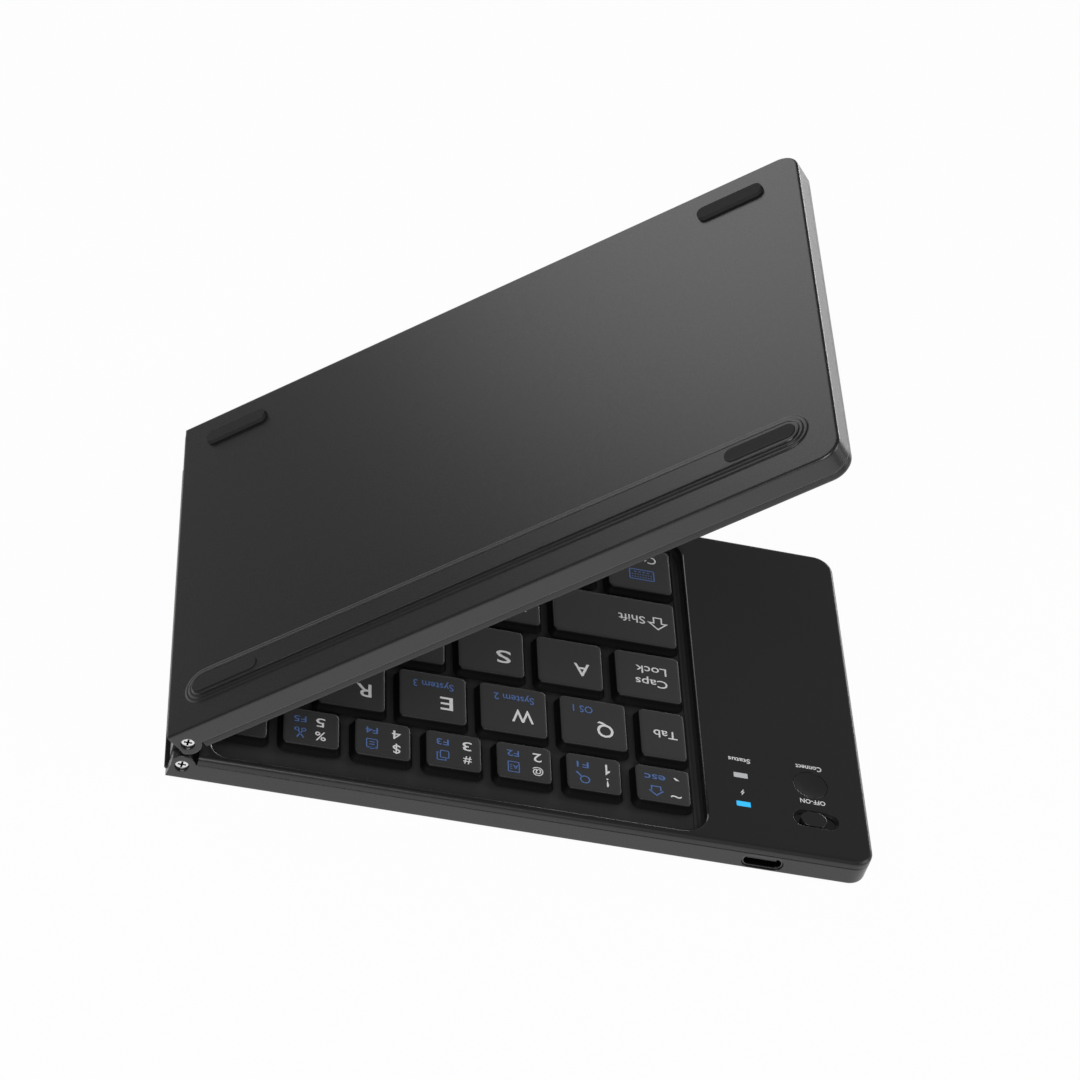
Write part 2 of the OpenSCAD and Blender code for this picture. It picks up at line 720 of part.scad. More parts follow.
module key_frame(side) {
    x0 = well_x0(side);
    x1 = well_x1(side);
    plate_x1 = x1 - groove_w;
    color("#1f1f21") in_frame() on_side(side)
        difference() {
            union() {
                difference() {
                    inner_slab(x0 - frame_wall, x1 + frame_wall - seat_gap, board_z, -top_cover_h);
                    well_cut(x0, x1, well_y0, well_y1, plate_z - groove_depth, 0,
                             well_inner_r, well_outer_r);
                }
                intersection() {
                    union() {
                        translate([x0 - merge, well_y0 - merge, board_z + merge])
                            cube([plate_x1 - x0 + merge, well_y1 - well_y0 + 2*merge,
                                  plate_t - merge]);
                        translate([plate_x1 - lip_w, well_y0 - merge, board_z + merge])
                            cube([lip_w, well_y1 - well_y0 + 2*merge, plate_t - merge + lip_h]);
                    }
                    well_cut(x0 - merge/2, x1, well_y0 - merge/2, well_y1 + merge/2, board_z, 0,
                             well_inner_r, well_outer_r);
                }
                for (row = [0 : 4], i = [0 : key_count(side, row) - 1])
                    for (x = guides(key_w(side, row, i)))
                        translate([key_mid(side, row, i)[0] + x, key_mid(side, row, i)[1], board_z])
                            cylinder(r = sleeve_r, h = sleeve_z - board_z);
                for (spot = screw_spots(side))
                    if (spot[0] < x1)
                        translate([spot[0], spot[1], floor_z])
                            cylinder(r = screw_boss_r, h = board_z - floor_z + merge);
            }
            for (row = [0 : 4], i = [0 : key_count(side, row) - 1])
                for (x = guides(key_w(side, row, i)))
                    translate([key_mid(side, row, i)[0] + x, key_mid(side, row, i)[1], 0]) {
                        translate([0, 0, -half_t])
                            cylinder(r = sleeve_bore_r, h = half_t + sleeve_z - catch_lip_t);
                        translate([0, 0, -half_t]) cylinder(r = tube_r + key_fit, h = half_t);
                    }
            for (spot = screw_spots(side))
                if (spot[0] < x1)
                    translate([spot[0], spot[1], -half_t])
                        cylinder(r = screw_boss_bore, h = half_t + plate_z - screw_cap);
        }
}

module key_board(side) {
    x0 = cavity_x + seat_gap;
    x1 = min(well_x1(side) + frame_wall, half_l - wall) - seat_gap;
    tail_x0 = pivot_x + flex_t/2 + flex_room/2;
    tail_x1 = x0 + 2*flex_t;
    color("#1c3524") in_frame() on_side(side)
        difference() {
            union() {
                inner_slab(x0, x1, floor_z, board_z);
                translate([tail_x0, flex_y, -pivot_drop - flex_t/2])
                    cube([tail_x1 - tail_x0, flex_w, flex_t]);
                translate([tail_x1 - flex_t, flex_y, board_z - merge])
                    cube([flex_t, flex_w, -pivot_drop + flex_t/2 - board_z + merge]);
            }
            for (spot = screw_spots(side))
                if (spot[0] < x1)
                    translate([spot[0], spot[1], -half_t])
                        cylinder(r = screw_boss_r + seat_gap, h = half_t);
        }
}

module key_domes(side) {
    color("#b9b9b4") in_frame() on_side(side)
        for (row = [0 : 4], i = [0 : key_count(side, row) - 1])
            translate([key_mid(side, row, i)[0], key_mid(side, row, i)[1], board_z])
                cylinder(r1 = dome_r, r2 = boss_r, h = dome_z - board_z);
}

// ---------------------------------------------------------------- feet and cover screws

module feet(side) {
    color("#1a1a1b") in_frame() on_side(side)
        for (x = [foot_in, half_l - foot_out]) {
            translate([x, foot_rear, 0])
                sloped_stadium(foot_l, foot_w, -half_t - foot_h, -half_t - ridge_h, foot_slope);
            translate([x, half_d - foot_front, 0])
                sloped_stadium(foot_l, foot_w, -half_t - foot_h, -half_t, foot_slope);
        }
}

module cover_screws(side) {
    color("#8d8d92") in_frame() on_side(side)
        for (spot = screw_spots(side))
            translate([spot[0], spot[1], 0]) {
                translate([0, 0, screw_head_z - cover_head_t])
                    cylinder(r = cover_head_r, h = cover_head_t);
                translate([0, 0, screw_head_z - merge])
                    cylinder(r = cover_thread_r,
                             h = plate_z - screw_cap - screw_end_gap - screw_head_z + merge);
            }
}

// ---------------------------------------------------------------- control panel

// A soldered part on the main board, up to height top
module chip(middle, size, top) {
    translate([middle[0] - size[0]/2, middle[1] - size[1]/2, board_z - merge])
        cube([size[0], size[1], top - board_z + merge]);
}

module main_board() {
    tact = 4.6;
    led = 1.6;
    radio = [6, 3.4];
    color("#1c3524") in_frame() difference() {
        union() {
            slab(well_x1(left) + frame_wall + seat_gap, half_l - wall - seat_gap,
                 wall + seat_gap, board_front, floor_z, board_z, corner_r - wall);
            for (y = [status_y, charge_y])
                chip([light_x, y], [led, led], led_z);
            chip([button_x, button_y], [tact, tact], tact_z);
            chip([switch_x, switch_y], [switch_l - 2, switch_body_w], switch_body_z);
            chip([light_x, board_front - radio[1]], radio, chip_z);
        }
        translate([port_x - port_w/2 - port_gap, 0, -half_t])
            cube([port_w + 2*port_gap, port_inset + port_l + port_board_gap, half_t]);
        translate([screw_out[left], screw_y[0], -half_t])
            cylinder(r = screw_boss_r + seat_gap, h = half_t);
        stem_slot(stem_z - stem_fit);
    }
}

module usb_c_port() {
    tongue_w = 6.7;
    tongue_t = 0.7;
    tongue_drop = 1;
    back_t = 1;
    tab = [0.9, 3, 0.3];
    tab_y = 2.5;
    color("#c9ccd1") in_frame() translate([port_x, port_inset, -port_drop]) {
        difference() {
            rotate([90, 0, 0]) stadium(port_w, port_h, -port_l, 0);
            rotate([90, 0, 0])
                stadium(port_w - 2*port_wall, port_h - 2*port_wall, -port_l + back_t, 1);
        }
        translate([-tongue_w/2, tongue_drop, -tongue_t/2])
            cube([tongue_w, port_l - tongue_drop - back_t/2, tongue_t]);
        for (side = [-1, 1])
            translate([side*(port_w/2 + tab[0]/2 - port_wall) - tab[0]/2, tab_y, port_drop + board_z])
                cube(tab);
    }
}

module battery() {
    color("#5c6470") in_frame()
        translate([(panel_x + half_l - wall - battery_w)/2, battery_y, floor_z])
            cube([battery_w, battery_l, battery_t]);
}

module light(y) {
    translate([light_x, y, 0]) {
        translate([-light_w/2 + lens_fit, -light_d/2 + lens_fit, -deck_t - lens_t])
            cube([light_w - 2*lens_fit, light_d - 2*lens_fit, deck_t + lens_t]);
        translate([-light_w/2 - lens_flange, -light_d/2 - lens_flange, led_z + lens_fit])
            cube([light_w + 2*lens_flange, light_d + 2*lens_flange, -deck_t - led_z - lens_fit]);
    }
}

module status_light() {
    color("#cfd2d4") in_frame() light(status_y);
}

module charge_light() {
    color("#25a9e0") in_frame() light(charge_y);
}

module connect_button() {
    dish_r = 20;
    dish_depth = 0.35;
    foot_z = -deck_t - button_flange_t/2;
    color("#2a2a2c") in_frame() translate([button_x, button_y, 0]) {
        difference() {
            translate([0, 0, foot_z]) cylinder(r = button_r, h = -foot_z - button_gap);
            translate([0, 0, dish_r - button_gap - dish_depth]) sphere(r = dish_r, $fn = 128);
        }
        translate([0, 0, -deck_t - button_gap - button_flange_t])
            cylinder(r = button_r + button_flange, h = button_flange_t);
        translate([0, 0, tact_z + button_travel + stem_gap])
            cylinder(r = button_stem_r, h = foot_z - tact_z - button_travel - stem_gap);
    }
}

module power_slider() {
    color("#232325") in_frame() translate([slider_x, switch_y, 0]) {
        stadium(slider_l, slider_w, -recess_depth + knob_drop, -knob_drop);
        translate([-stem_l/2, -stem_w/2, stem_z]) cube([stem_l, stem_w, -recess_depth/2 - stem_z]);
    }
}

// ---------------------------------------------------------------- hinge

module at_pivots() {
    children();
    translate([0, 0, link_l]) children();
}

module hinge_spine() {
    y1 = half_d - spine_y;
    window = 2*flex_room;
    color("#343436") in_frame() difference() {
        union() {
            at_pivots() pivot_cylinder(spine_r, spine_y, y1);
            translate([pivot_x - spine_r, spine_y, -pivot_drop])
                cube([2*spine_r, y1 - spine_y, link_l]);
        }
        both_ends() at_pivots()
            pivot_cylinder(thread_r + thread_fit, spine_y - 1, spine_y + thread_l + 0.2);
        for (z = [-pivot_drop - spine_r - 1, link_l - pivot_drop - window])
            translate([pivot_x - window, flex_y - 2*flex_room, z])
                cube([spine_r + 1, flex_w + 4*flex_room, spine_r + 1 + window]);
        translate([pivot_x - flex_t/2 - flex_room, flex_y - 2*flex_room, -pivot_drop])
            cube([flex_t + 2*flex_room, flex_w + 4*flex_room, link_l]);
    }
}

module hinge_flex() {
    color("#b5722a") in_frame() {
        translate([pivot_x - flex_t/2, flex_y, -pivot_drop]) cube([flex_t, flex_w, link_l]);
        at_pivots() pivot_cylinder(flex_t/2, flex_y, flex_y + flex_w);
    }
}

module hinge_screw() {
    slot_w = 0.42;
    slot_l = 1.7;
    slot_t = 0.4;
    difference() {
        pivot_cylinder(head_r, head_sink, head_sink + head_t);
        for (angle = [0, 90])
            translate([pivot_x, head_sink, -pivot_drop])
                rotate([0, angle, 0])
                    translate([-slot_l/2, -1, -slot_w/2]) cube([slot_l, 1 + slot_t, slot_w]);
    }
    pivot_cylinder(shoulder_r, head_sink + head_t - 0.1, spine_y - 0.02);
    pivot_cylinder(thread_r, spine_y - 0.1, spine_y + thread_l);
}

module hinge_screws() {
    color("#dcdde0") in_frame() both_ends() at_pivots() hinge_screw();
}

module hinge_washers() {
    color("#9a9ba0") in_frame() both_ends() at_pivots()
        difference() {
            pivot_cylinder(washer_r, ear_t + washer_gap, spine_y);
            pivot_cylinder(shoulder_r + pivot_fit, 0, spine_y + 1);
        }
}

// ---------------------------------------------------------------- the part

bottom_cover(left);  // left_bottom_cover
top_cover(left);  // left_top_cover
key_frame(left);  // left_key_frame
key_board(left);  // left_key_board
key_domes(left);  // left_key_domes
feet(left);  // left_feet
cover_screws(left);  // left_cover_screws
main_board();
usb_c_port();
battery();
connect_button();
power_slider();
status_light();
charge_light();
hinge_spine();
hinge_screws();
hinge_washers();
hinge_flex();
bottom_cover(right);  // right_bottom_cover
top_cover(right);  // right_top_cover
key_frame(right);  // right_key_frame
key_board(right);  // right_key_board
key_domes(right);  // right_key_domes
feet(right);  // right_feet
cover_screws(right);  // right_cover_screws
for (row = [0 : 4], i = [0 : len(left_names[row]) - 1])
    left_key(row, i);
for (row = [0 : 4])
    right_row(row);
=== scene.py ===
import json
import math

import bmesh
import bpy
from mathutils import Matrix, Vector


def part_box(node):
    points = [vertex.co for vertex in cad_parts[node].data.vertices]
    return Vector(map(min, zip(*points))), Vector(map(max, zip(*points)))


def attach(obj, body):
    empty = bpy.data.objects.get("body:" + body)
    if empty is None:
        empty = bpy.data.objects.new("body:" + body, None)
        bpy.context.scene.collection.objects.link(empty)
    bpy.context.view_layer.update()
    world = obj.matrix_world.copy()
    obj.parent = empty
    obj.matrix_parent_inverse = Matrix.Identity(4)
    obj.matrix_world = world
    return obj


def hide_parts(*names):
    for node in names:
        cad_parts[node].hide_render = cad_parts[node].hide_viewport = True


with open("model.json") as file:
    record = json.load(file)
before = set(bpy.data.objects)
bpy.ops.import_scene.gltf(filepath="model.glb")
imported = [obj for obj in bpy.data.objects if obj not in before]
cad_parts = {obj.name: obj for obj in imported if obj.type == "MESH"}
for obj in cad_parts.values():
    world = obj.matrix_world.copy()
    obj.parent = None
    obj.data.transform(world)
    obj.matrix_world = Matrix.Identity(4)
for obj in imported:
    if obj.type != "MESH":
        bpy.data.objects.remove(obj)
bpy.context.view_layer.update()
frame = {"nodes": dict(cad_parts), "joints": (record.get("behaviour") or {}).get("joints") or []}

# Sizes in this script are in millimetres of a half frame, unless a name says otherwise: x from the
# hinge end to the outer end, y from the rear edge to the front edge, z up from the deck.
MM = 0.001

# Keys, as the part's source has them: how far a skirt stands out beyond the key's top, and its
# depth; the depth of the cap's ceiling, its wall, the width from which a key has three guide tubes,
# their distance as a share of the width, and their (radius, z) profile
KEY_FLARE = 0.9
KEY_SKIRT = 2.0
KEY_CEILING = 0.9
KEY_WALL = 0.8
WIDE_KEY = 22
GUIDE_SHARE = 0.32
GUIDE_STEPS = 24
GUIDE_PROFILE = [(2.0, -0.9), (2.0, -3.15), (2.75, -3.15), (2.75, -2.85), (2.5, -2.85), (2.5, -0.9)]

# Keys, softened here: the corner radius of the top, how much wider it gets down the skirt, the
# rounding of the top edge, the flat inside it, and the depths at which the top and the flank end
KEY_CORNER = 1.1
KEY_CORNER_GROWTH = 0.8
KEY_EDGE = 0.42
KEY_EDGE_STEPS = 5
KEY_EDGE_FLAT = 0.5
# Below the top's end a cap's faces are in painted shade, and below the flank's end in darker painted
# shade
KEY_TOP_END = KEY_EDGE / 6
KEY_FLANK_END = 1.2

# Print on the keys and the panel: how high its middle lies over the surface, and its thickness
PRINT_LIFT = 0.012
PRINT_DEPTH = 0.008

# ---------------------------------------------------------------- the two halves

JOINTS = {joint["name"]: joint for joint in frame["joints"]}


def half_frames():
    """The matrices that take a half's millimetres to the row frame."""
    lower_pivot = Vector(JOINTS["left_pivot"]["pos_m"])
    upper_pivot = Vector(JOINTS["right_pivot"]["pos_m"])
    fold = math.radians(-JOINTS["right_pivot"]["range_deg"][0])
    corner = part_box("left_bottom_cover")[0]
    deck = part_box("left_top_cover")[1].z
    origin = Vector((corner.x, corner.y, deck))
    left = Matrix.Translation(origin) @ Matrix.Scale(MM, 4)
    arm = lower_pivot - origin
    to_pivot = Matrix.Translation(Vector((-arm.x, -arm.y, arm.z)))
    mirrored = Matrix.Diagonal((MM, MM, -MM, 1))
    right = Matrix.Translation(upper_pivot) @ Matrix.Rotation(-fold, 4, "Y") @ to_pivot @ mirrored
    return {"left": left, "right": right}


HALVES = half_frames()


def in_half(side, point):
    """A point of a half in the frame."""
    return HALVES[side] @ Vector(point)


def half_points(node, side):
    """A node's vertices in the millimetres of a half."""
    to_half = HALVES[side].inverted()
    return [to_half @ vertex.co for vertex in frame["nodes"][node].data.vertices]


def half_box(node, side):
    """A node's lowest and highest corners in the millimetres of a half."""
    points = half_points(node, side)
    low = Vector([min(point[i] for point in points) for i in range(3)])
    high = Vector([max(point[i] for point in points) for i in range(3)])
    return low, high


# ---------------------------------------------------------------- mesh helpers


def ring(outline, z):
    """An outline at one height."""
    return [(x, y, z) for x, y in outline]


def arc(x, y, radius, start, turn, steps):
    """Points on an arc from an angle in degrees, through a turn, with both ends."""
    points = []
    for step in range(steps + 1):
        angle = math.radians(start + turn * step / steps)
        points.append((x + radius * math.cos(angle), y + radius * math.sin(angle)))
    return points


def corner_arcs(corners, steps):
    """Points round the quarter circles (x, y, radius, start)."""
    return [point for x, y, radius, start in corners for point in arc(x, y, radius, start, 90, steps)]


def rounded_rectangle(x0, x1, y0, y1, radius, steps=6):
    """Points round a rectangle with round corners, anticlockwise."""
    room = 1e-4
    radius = min(radius, (x1 - x0) / 2 - room, (y1 - y0) / 2 - room)
    corners = [
        (x1 - radius, y1 - radius, radius, 0),
        (x0 + radius, y1 - radius, radius, 90),
        (x0 + radius, y0 + radius, radius, 180),
        (x1 - radius, y0 + radius, radius, 270),
    ]
    return corner_arcs(corners, steps)


def stadium(x, y, length, width):
    """Points round a stadium that lies along x."""
    steps = 24
    half = (length - width) / 2
    outer_end = arc(x + half, y, width / 2, -90, 180, steps)
    hinge_end = arc(x - half, y, width / 2, 90, 180, steps)
    return outer_end + hinge_end


def circle(x, y, radius, steps):
    """Points round a circle, each once."""
    turn = [2 * math.pi * step / steps for step in range(steps)]
    return [(x + radius * math.cos(angle), y + radius * math.sin(angle)) for angle in turn]


def loft(rings, caps=True, closed=False):
    """The skin over rings with equal numbers of points: capped, open, or closed on its first ring."""
    count = len(rings[0])
    vertices = [point for points in rings for point in points]
    faces = []
    levels = len(rings) if closed else len(rings) - 1
    for level in range(levels):
        below = level * count
        above = (level + 1) % len(rings) * count
        for i in range(count):
            j = (i + 1) % count
            faces.append((below + i, below + j, above + j, above + i))
    if caps and not closed:
        faces.append(tuple(reversed(range(count))))
        faces.append(tuple(range((len(rings) - 1) * count, len(rings) * count)))
    return vertices, faces


def join(parts):
    """One vertex list and one face list from several parts, each with a material index or a list."""
    vertices, faces, indices = [], [], []
    for part_vertices, part_faces, index in parts:
        base = len(vertices)
        vertices += part_vertices
        faces += [tuple(base + i for i in face) for face in part_faces]
        indices += index if isinstance(index, list) else [index] * len(part_faces)
    return vertices, faces, indices


def add_piece(name, side, body, parts, materials, replaced=(), smooth_deg=38, outward=True):
    """A mesh piece from parts in the millimetres of a half, riding on a body."""
    vertices, faces, indices = join(parts)
    mesh = bpy.data.meshes.new(name)
    mesh.from_pydata([in_half(side, point) for point in vertices], [], faces)
    mesh.update()
    for polygon, index in zip(mesh.polygons, indices):
        polygon.material_index = index
    if outward:
        shape = bmesh.new()
        shape.from_mesh(mesh)
        bmesh.ops.recalc_face_normals(shape, faces=shape.faces)
        shape.to_mesh(mesh)
        shape.free()
    elif HALVES[side].determinant() < 0:
        mesh.flip_normals()
    mesh.shade_smooth()
    mesh.set_sharp_from_angle(angle=math.radians(smooth_deg))
    for material in materials:
        mesh.materials.append(material)
    piece = bpy.data.objects.new(name, mesh)
    bpy.context.scene.collection.objects.link(piece)
    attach(piece, body)
    if replaced:
        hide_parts(*replaced)
    return piece


# ---------------------------------------------------------------- materials

# The scales of the textures, in cells a metre
CLOUD_SCALE = 28.0
SCRATCH_SCALE = 4000.0
COAT_SCALE = 6000.0
LENS_SCALE = 900.0
TRACE_SCALE = 300.0

# The part of a noise texture's range that is used
NOISE_LOW = 0.3
NOISE_HIGH = 0.7

# The heights of the bumps and the rounding of metal edges; the strength of metal's bumps, and how
# far its roughness strays and the least it comes to
GRAIN_HEIGHT_MM = 0.02
SCRATCH_HEIGHT_MM = 0.01
METAL_EDGE_MM = 0.08
METAL_BUMP = 0.05
METAL_SPREAD = 0.06
SMOOTHEST = 0.02
BEVEL_SAMPLES = 8

# The roughness of ink, lens and board, and the darker shade of ink and lens as a share of the colour
INK_ROUGHNESS = 0.5
INK_DARK = 0.94
LENS_ROUGHNESS = 0.3
LENS_DARK = 0.86
BOARD_ROUGHNESS = 0.35


def new_material(name):
    """A material with one empty principled shader."""
    material = bpy.data.materials.new(name)
    material.use_nodes = True
    nodes = material.node_tree.nodes
    nodes.clear()
    output = nodes.new("ShaderNodeOutputMaterial")
    shader = nodes.new("ShaderNodeBsdfPrincipled")
    material.node_tree.links.new(shader.outputs["BSDF"], output.inputs["Surface"])
    return material, nodes, material.node_tree.links, shader


def noise(nodes, links, scale, detail=2.0, roughness=0.5):
    """A noise texture fixed to the piece."""
    where = nodes.new("ShaderNodeTexCoord")
    texture = nodes.new("ShaderNodeTexNoise")
    texture.inputs["Scale"].default_value = scale
    texture.inputs["Detail"].default_value = detail
    texture.inputs["Roughness"].default_value = roughness
    links.new(where.outputs["Object"], texture.inputs["Vector"])
    return texture


def spread(nodes, links, source, low, high):
    """A noise's used range stretched from low to high."""
    scaled = nodes.new("ShaderNodeMapRange")
    scaled.interpolation_type = "SMOOTHSTEP"
    scaled.inputs["From Min"].default_value = NOISE_LOW
    scaled.inputs["From Max"].default_value = NOISE_HIGH
    scaled.inputs["To Min"].default_value = low
    scaled.inputs["To Max"].default_value = high
    links.new(source, scaled.inputs["Value"])
    return scaled.outputs["Result"]


def two_shades(nodes, links, texture, color, dark, light):
    """A colour that a texture mixes from two shades of it."""
    mix = nodes.new("ShaderNodeMix")
    mix.data_type = "RGBA"
    mix.inputs["A"].default_value = (*[c * dark for c in color], 1)
    mix.inputs["B"].default_value = (*[c * light for c in color], 1)
    links.new(texture.outputs["Fac"], mix.inputs["Factor"])
    return mix.outputs["Result"]


def rounded_normal(nodes, radius_mm):
    """The normal of a piece with its edges rounded off."""
    bevel = nodes.new("ShaderNodeBevel")
    bevel.samples = BEVEL_SAMPLES
    bevel.inputs["Radius"].default_value = radius_mm * MM
    return bevel.outputs["Normal"]


def plastic(name, color, roughness, grain_mm=0.12, grain=0.12, blotch=0.06, edge_mm=0.12,
            specular=0.5):
    """Moulded plastic: fine spark-eroded grain, a little uneven sheen, softened edges."""
    material, nodes, links, shader = new_material(name)
    fine = noise(nodes, links, 1 / (grain_mm * MM), detail=3.0)
    cloud = noise(nodes, links, CLOUD_SCALE, detail=1.0)
    shade = two_shades(nodes, links, cloud, color, 1 - 2 * blotch, 1 + 2 * blotch)
    links.new(shade, shader.inputs["Base Color"])
    sheen = spread(nodes, links, fine.outputs["Fac"], roughness - blotch / 2, roughness + blotch / 2)
    links.new(sheen, shader.inputs["Roughness"])
    shader.inputs["Specular IOR Level"].default_value = specular
    bump = nodes.new("ShaderNodeBump")
    bump.inputs["Strength"].default_value = grain
    bump.inputs["Distance"].default_value = GRAIN_HEIGHT_MM * MM
    links.new(fine.outputs["Fac"], bump.inputs["Height"])
    if edge_mm:
        links.new(rounded_normal(nodes, edge_mm), bump.inputs["Normal"])
    links.new(bump.outputs["Normal"], shader.inputs["Normal"])
    return material


def rubber(name, color):
    """Rubber: matt, with a coarser grain than plastic."""
    return plastic(name, color, 0.72, grain_mm=0.2, grain=0.3, blotch=0.08, edge_mm=0.15,
                   specular=0.35)


def metal(name, color, roughness, brushed=0.0):
    """Metal with fine scratches that vary its sheen."""
    material, nodes, links, shader = new_material(name)
    shader.inputs["Base Color"].default_value = (*color, 1)
    shader.inputs["Metallic"].default_value = 1.0
    scratch = noise(nodes, links, SCRATCH_SCALE, detail=4.0, roughness=0.7)
    low = max(SMOOTHEST, roughness - METAL_SPREAD)
    sheen = spread(nodes, links, scratch.outputs["Fac"], low, roughness + METAL_SPREAD + brushed)
    links.new(sheen, shader.inputs["Roughness"])
    bump = nodes.new("ShaderNodeBump")
    bump.inputs["Strength"].default_value = METAL_BUMP + brushed
    bump.inputs["Distance"].default_value = SCRATCH_HEIGHT_MM * MM
    links.new(scratch.outputs["Fac"], bump.inputs["Height"])
    links.new(rounded_normal(nodes, METAL_EDGE_MM), bump.inputs["Normal"])
    links.new(bump.outputs["Normal"], shader.inputs["Normal"])
    return material


def printed(name, color):
    """Screen-printed ink: matt, with a slightly uneven coat."""
    material, nodes, links, shader = new_material(name)
    coat = noise(nodes, links, COAT_SCALE)
    links.new(two_shades(nodes, links, coat, color, INK_DARK, 1.0), shader.inputs["Base Color"])
    shader.inputs["Roughness"].default_value = INK_ROUGHNESS
    return material


def lens(name, color, glow):
    """A translucent light pipe, lit from below."""
    material, nodes, links, shader = new_material(name)
    cloud = noise(nodes, links, LENS_SCALE)
    shade = two_shades(nodes, links, cloud, color, LENS_DARK, 1.0)
    links.new(shade, shader.inputs["Base Color"])
    links.new(shade, shader.inputs["Emission Color"])
    shader.inputs["Emission Strength"].default_value = glow
    shader.inputs["Roughness"].default_value = LENS_ROUGHNESS
    return material


def board(name, color):
    """A circuit board: solder mask over fine traces."""
    material, nodes, links, shader = new_material(name)
    where = nodes.new("ShaderNodeTexCoord")
    traces = nodes.new("ShaderNodeTexBrick")
    traces.inputs["Scale"].default_value = TRACE_SCALE
    traces.inputs["Color1"].default_value = (*color, 1)
    traces.inputs["Color2"].default_value = (*[c * 1.25 for c in color], 1)
    traces.inputs["Mortar"].default_value = (*[c * 1.8 for c in color], 1)
    traces.inputs["Mortar Size"].default_value = 0.03
    links.new(where.outputs["Object"], traces.inputs["Vector"])
    links.new(traces.outputs["Color"], shader.inputs["Base Color"])
    shader.inputs["Roughness"].default_value = BOARD_ROUGHNESS
    return material


DECK = plastic("deck_plastic", (0.0135, 0.0135, 0.0141), 0.32, grain=0.08)
CASE = plastic("case_plastic", (0.010, 0.010, 0.0104), 0.28, grain=0.06, blotch=0.02, edge_mm=0.5,
               specular=0.72)
KEY = plastic("key_plastic", (0.033, 0.033, 0.0338), 0.5, grain=0.14, edge_mm=0)
# Painted shade: the keys' flanks and most of their top rounding are near black, far darker than the
# tops
KEY_FLANK_PAINTED_SHADE = plastic("key_flank_painted_shade", (0.004, 0.004, 0.0042), 0.42, grain=0.1, edge_mm=0,
                    specular=0.2)
# Painted shade: the keys' skirts and the guide tubes under them are darker still
KEY_SKIRT_PAINTED_SHADE = plastic("key_skirt_painted_shade", (0.003, 0.003, 0.0032), 0.65, grain=0.14, edge_mm=0,
                    specular=0.15)
PLATE = plastic("plate_plastic", (0.034, 0.034, 0.035), 0.5, grain=0.12)
BUTTON = plastic("button_plastic", (0.012, 0.012, 0.0125), 0.2, grain=0.03, edge_mm=0.2,
                 specular=0.8)
POLISHED = plastic("polished_edge", (0.012, 0.012, 0.0124), 0.12, grain=0.02, edge_mm=0,
                   specular=0.9)
# Painted shade: a near-black skin in the slider's recess; its gloss is the surface's own
RECESS_PAINTED_SHADE = plastic("recess_painted_shade", (0.003, 0.003, 0.0032), 0.14, grain=0.03, edge_mm=0,
                      specular=0.7)
# Painted shadow: a near-black fill in the hinge screws' cross slots
SLOT_PAINTED_SHADOW = plastic("slot_shadow", (0.002, 0.002, 0.002), 0.8, edge_mm=0, specular=0.1)
SHELL = metal("port_shell", (0.10, 0.10, 0.105), 0.30)
SPINE = plastic("spine_paint", (0.028, 0.028, 0.029), 0.32, grain=0.06, edge_mm=0.15)
FOOT = rubber("foot_rubber", (0.023, 0.023, 0.0236))
DOME = rubber("dome_silicone", (0.48, 0.48, 0.46))
SCREW = metal("screw_nickel", (0.78, 0.78, 0.79), 0.16)
STEEL = metal("plain_steel", (0.42, 0.43, 0.45), 0.35, brushed=0.1)
BOARD = board("board_green", (0.012, 0.05, 0.022))
FLEX = plastic("flex_film", (0.36, 0.15, 0.03), 0.3, grain=0.05, edge_mm=0)
CELL = plastic("cell_wrap", (0.11, 0.13, 0.16), 0.4, edge_mm=0)
WHITE_INK = printed("white_ink", (0.90, 0.90, 0.91))
BLUE_INK = printed("blue_ink", (0.10, 0.19, 0.46))
STATUS_LENS = lens("status_lens", (0.62, 0.63, 0.65), 0.12)
CHARGE_LENS = lens("charge_lens", (0.03, 0.42, 0.80), 0.75)

CAD_MATERIALS = {
    DECK: ["left_top_cover", "right_top_cover"],
    CASE: ["left_bottom_cover", "right_bottom_cover"],
    PLATE: ["left_key_frame", "right_key_frame"],
    BOARD: ["left_key_board", "right_key_board", "main_board"],
    DOME: ["left_key_domes", "right_key_domes"],
    FOOT: ["left_feet", "right_feet"],
    STEEL: ["left_cover_screws", "right_cover_screws", "hinge_washers"],
    SCREW: ["hinge_screws"],
    SHELL: ["usb_c_port"],
    CELL: ["battery"],
    SPINE: ["hinge_spine"],
    FLEX: ["hinge_flex"],
    BUTTON: ["connect_button", "power_slider"],
    STATUS_LENS: ["status_light"],
    CHARGE_LENS: ["charge_light"],
}
for cad_material, names in CAD_MATERIALS.items():
    for node_name in names:
        for material_slot in frame["nodes"][node_name].material_slots:
            material_slot.material = cad_material

# ---------------------------------------------------------------- keys

# Faces nearer than this along x belong to one key
SAME_KEY = 0.05


def key_areas(node, side):
    """Each key's skirt as (x0, x1, y0, y1), from the outer end to the hinge."""
    points = half_points(node, side)
    spans = []
    for polygon in frame["nodes"][node].data.polygons:
        xs = [points[i].x for i in polygon.vertices]
        spans.append((min(xs), max(xs)))
    merged = []
    for low, high in sorted(spans):
        if merged and low <= merged[-1][1] + SAME_KEY:
            merged[-1][1] = max(merged[-1][1], high)
        else:
            merged.append([low, high])
    y0 = min(point.y for point in points)
    y1 = max(point.y for point in points)
    return [(low, high, y0, y1) for low, high in reversed(merged)]


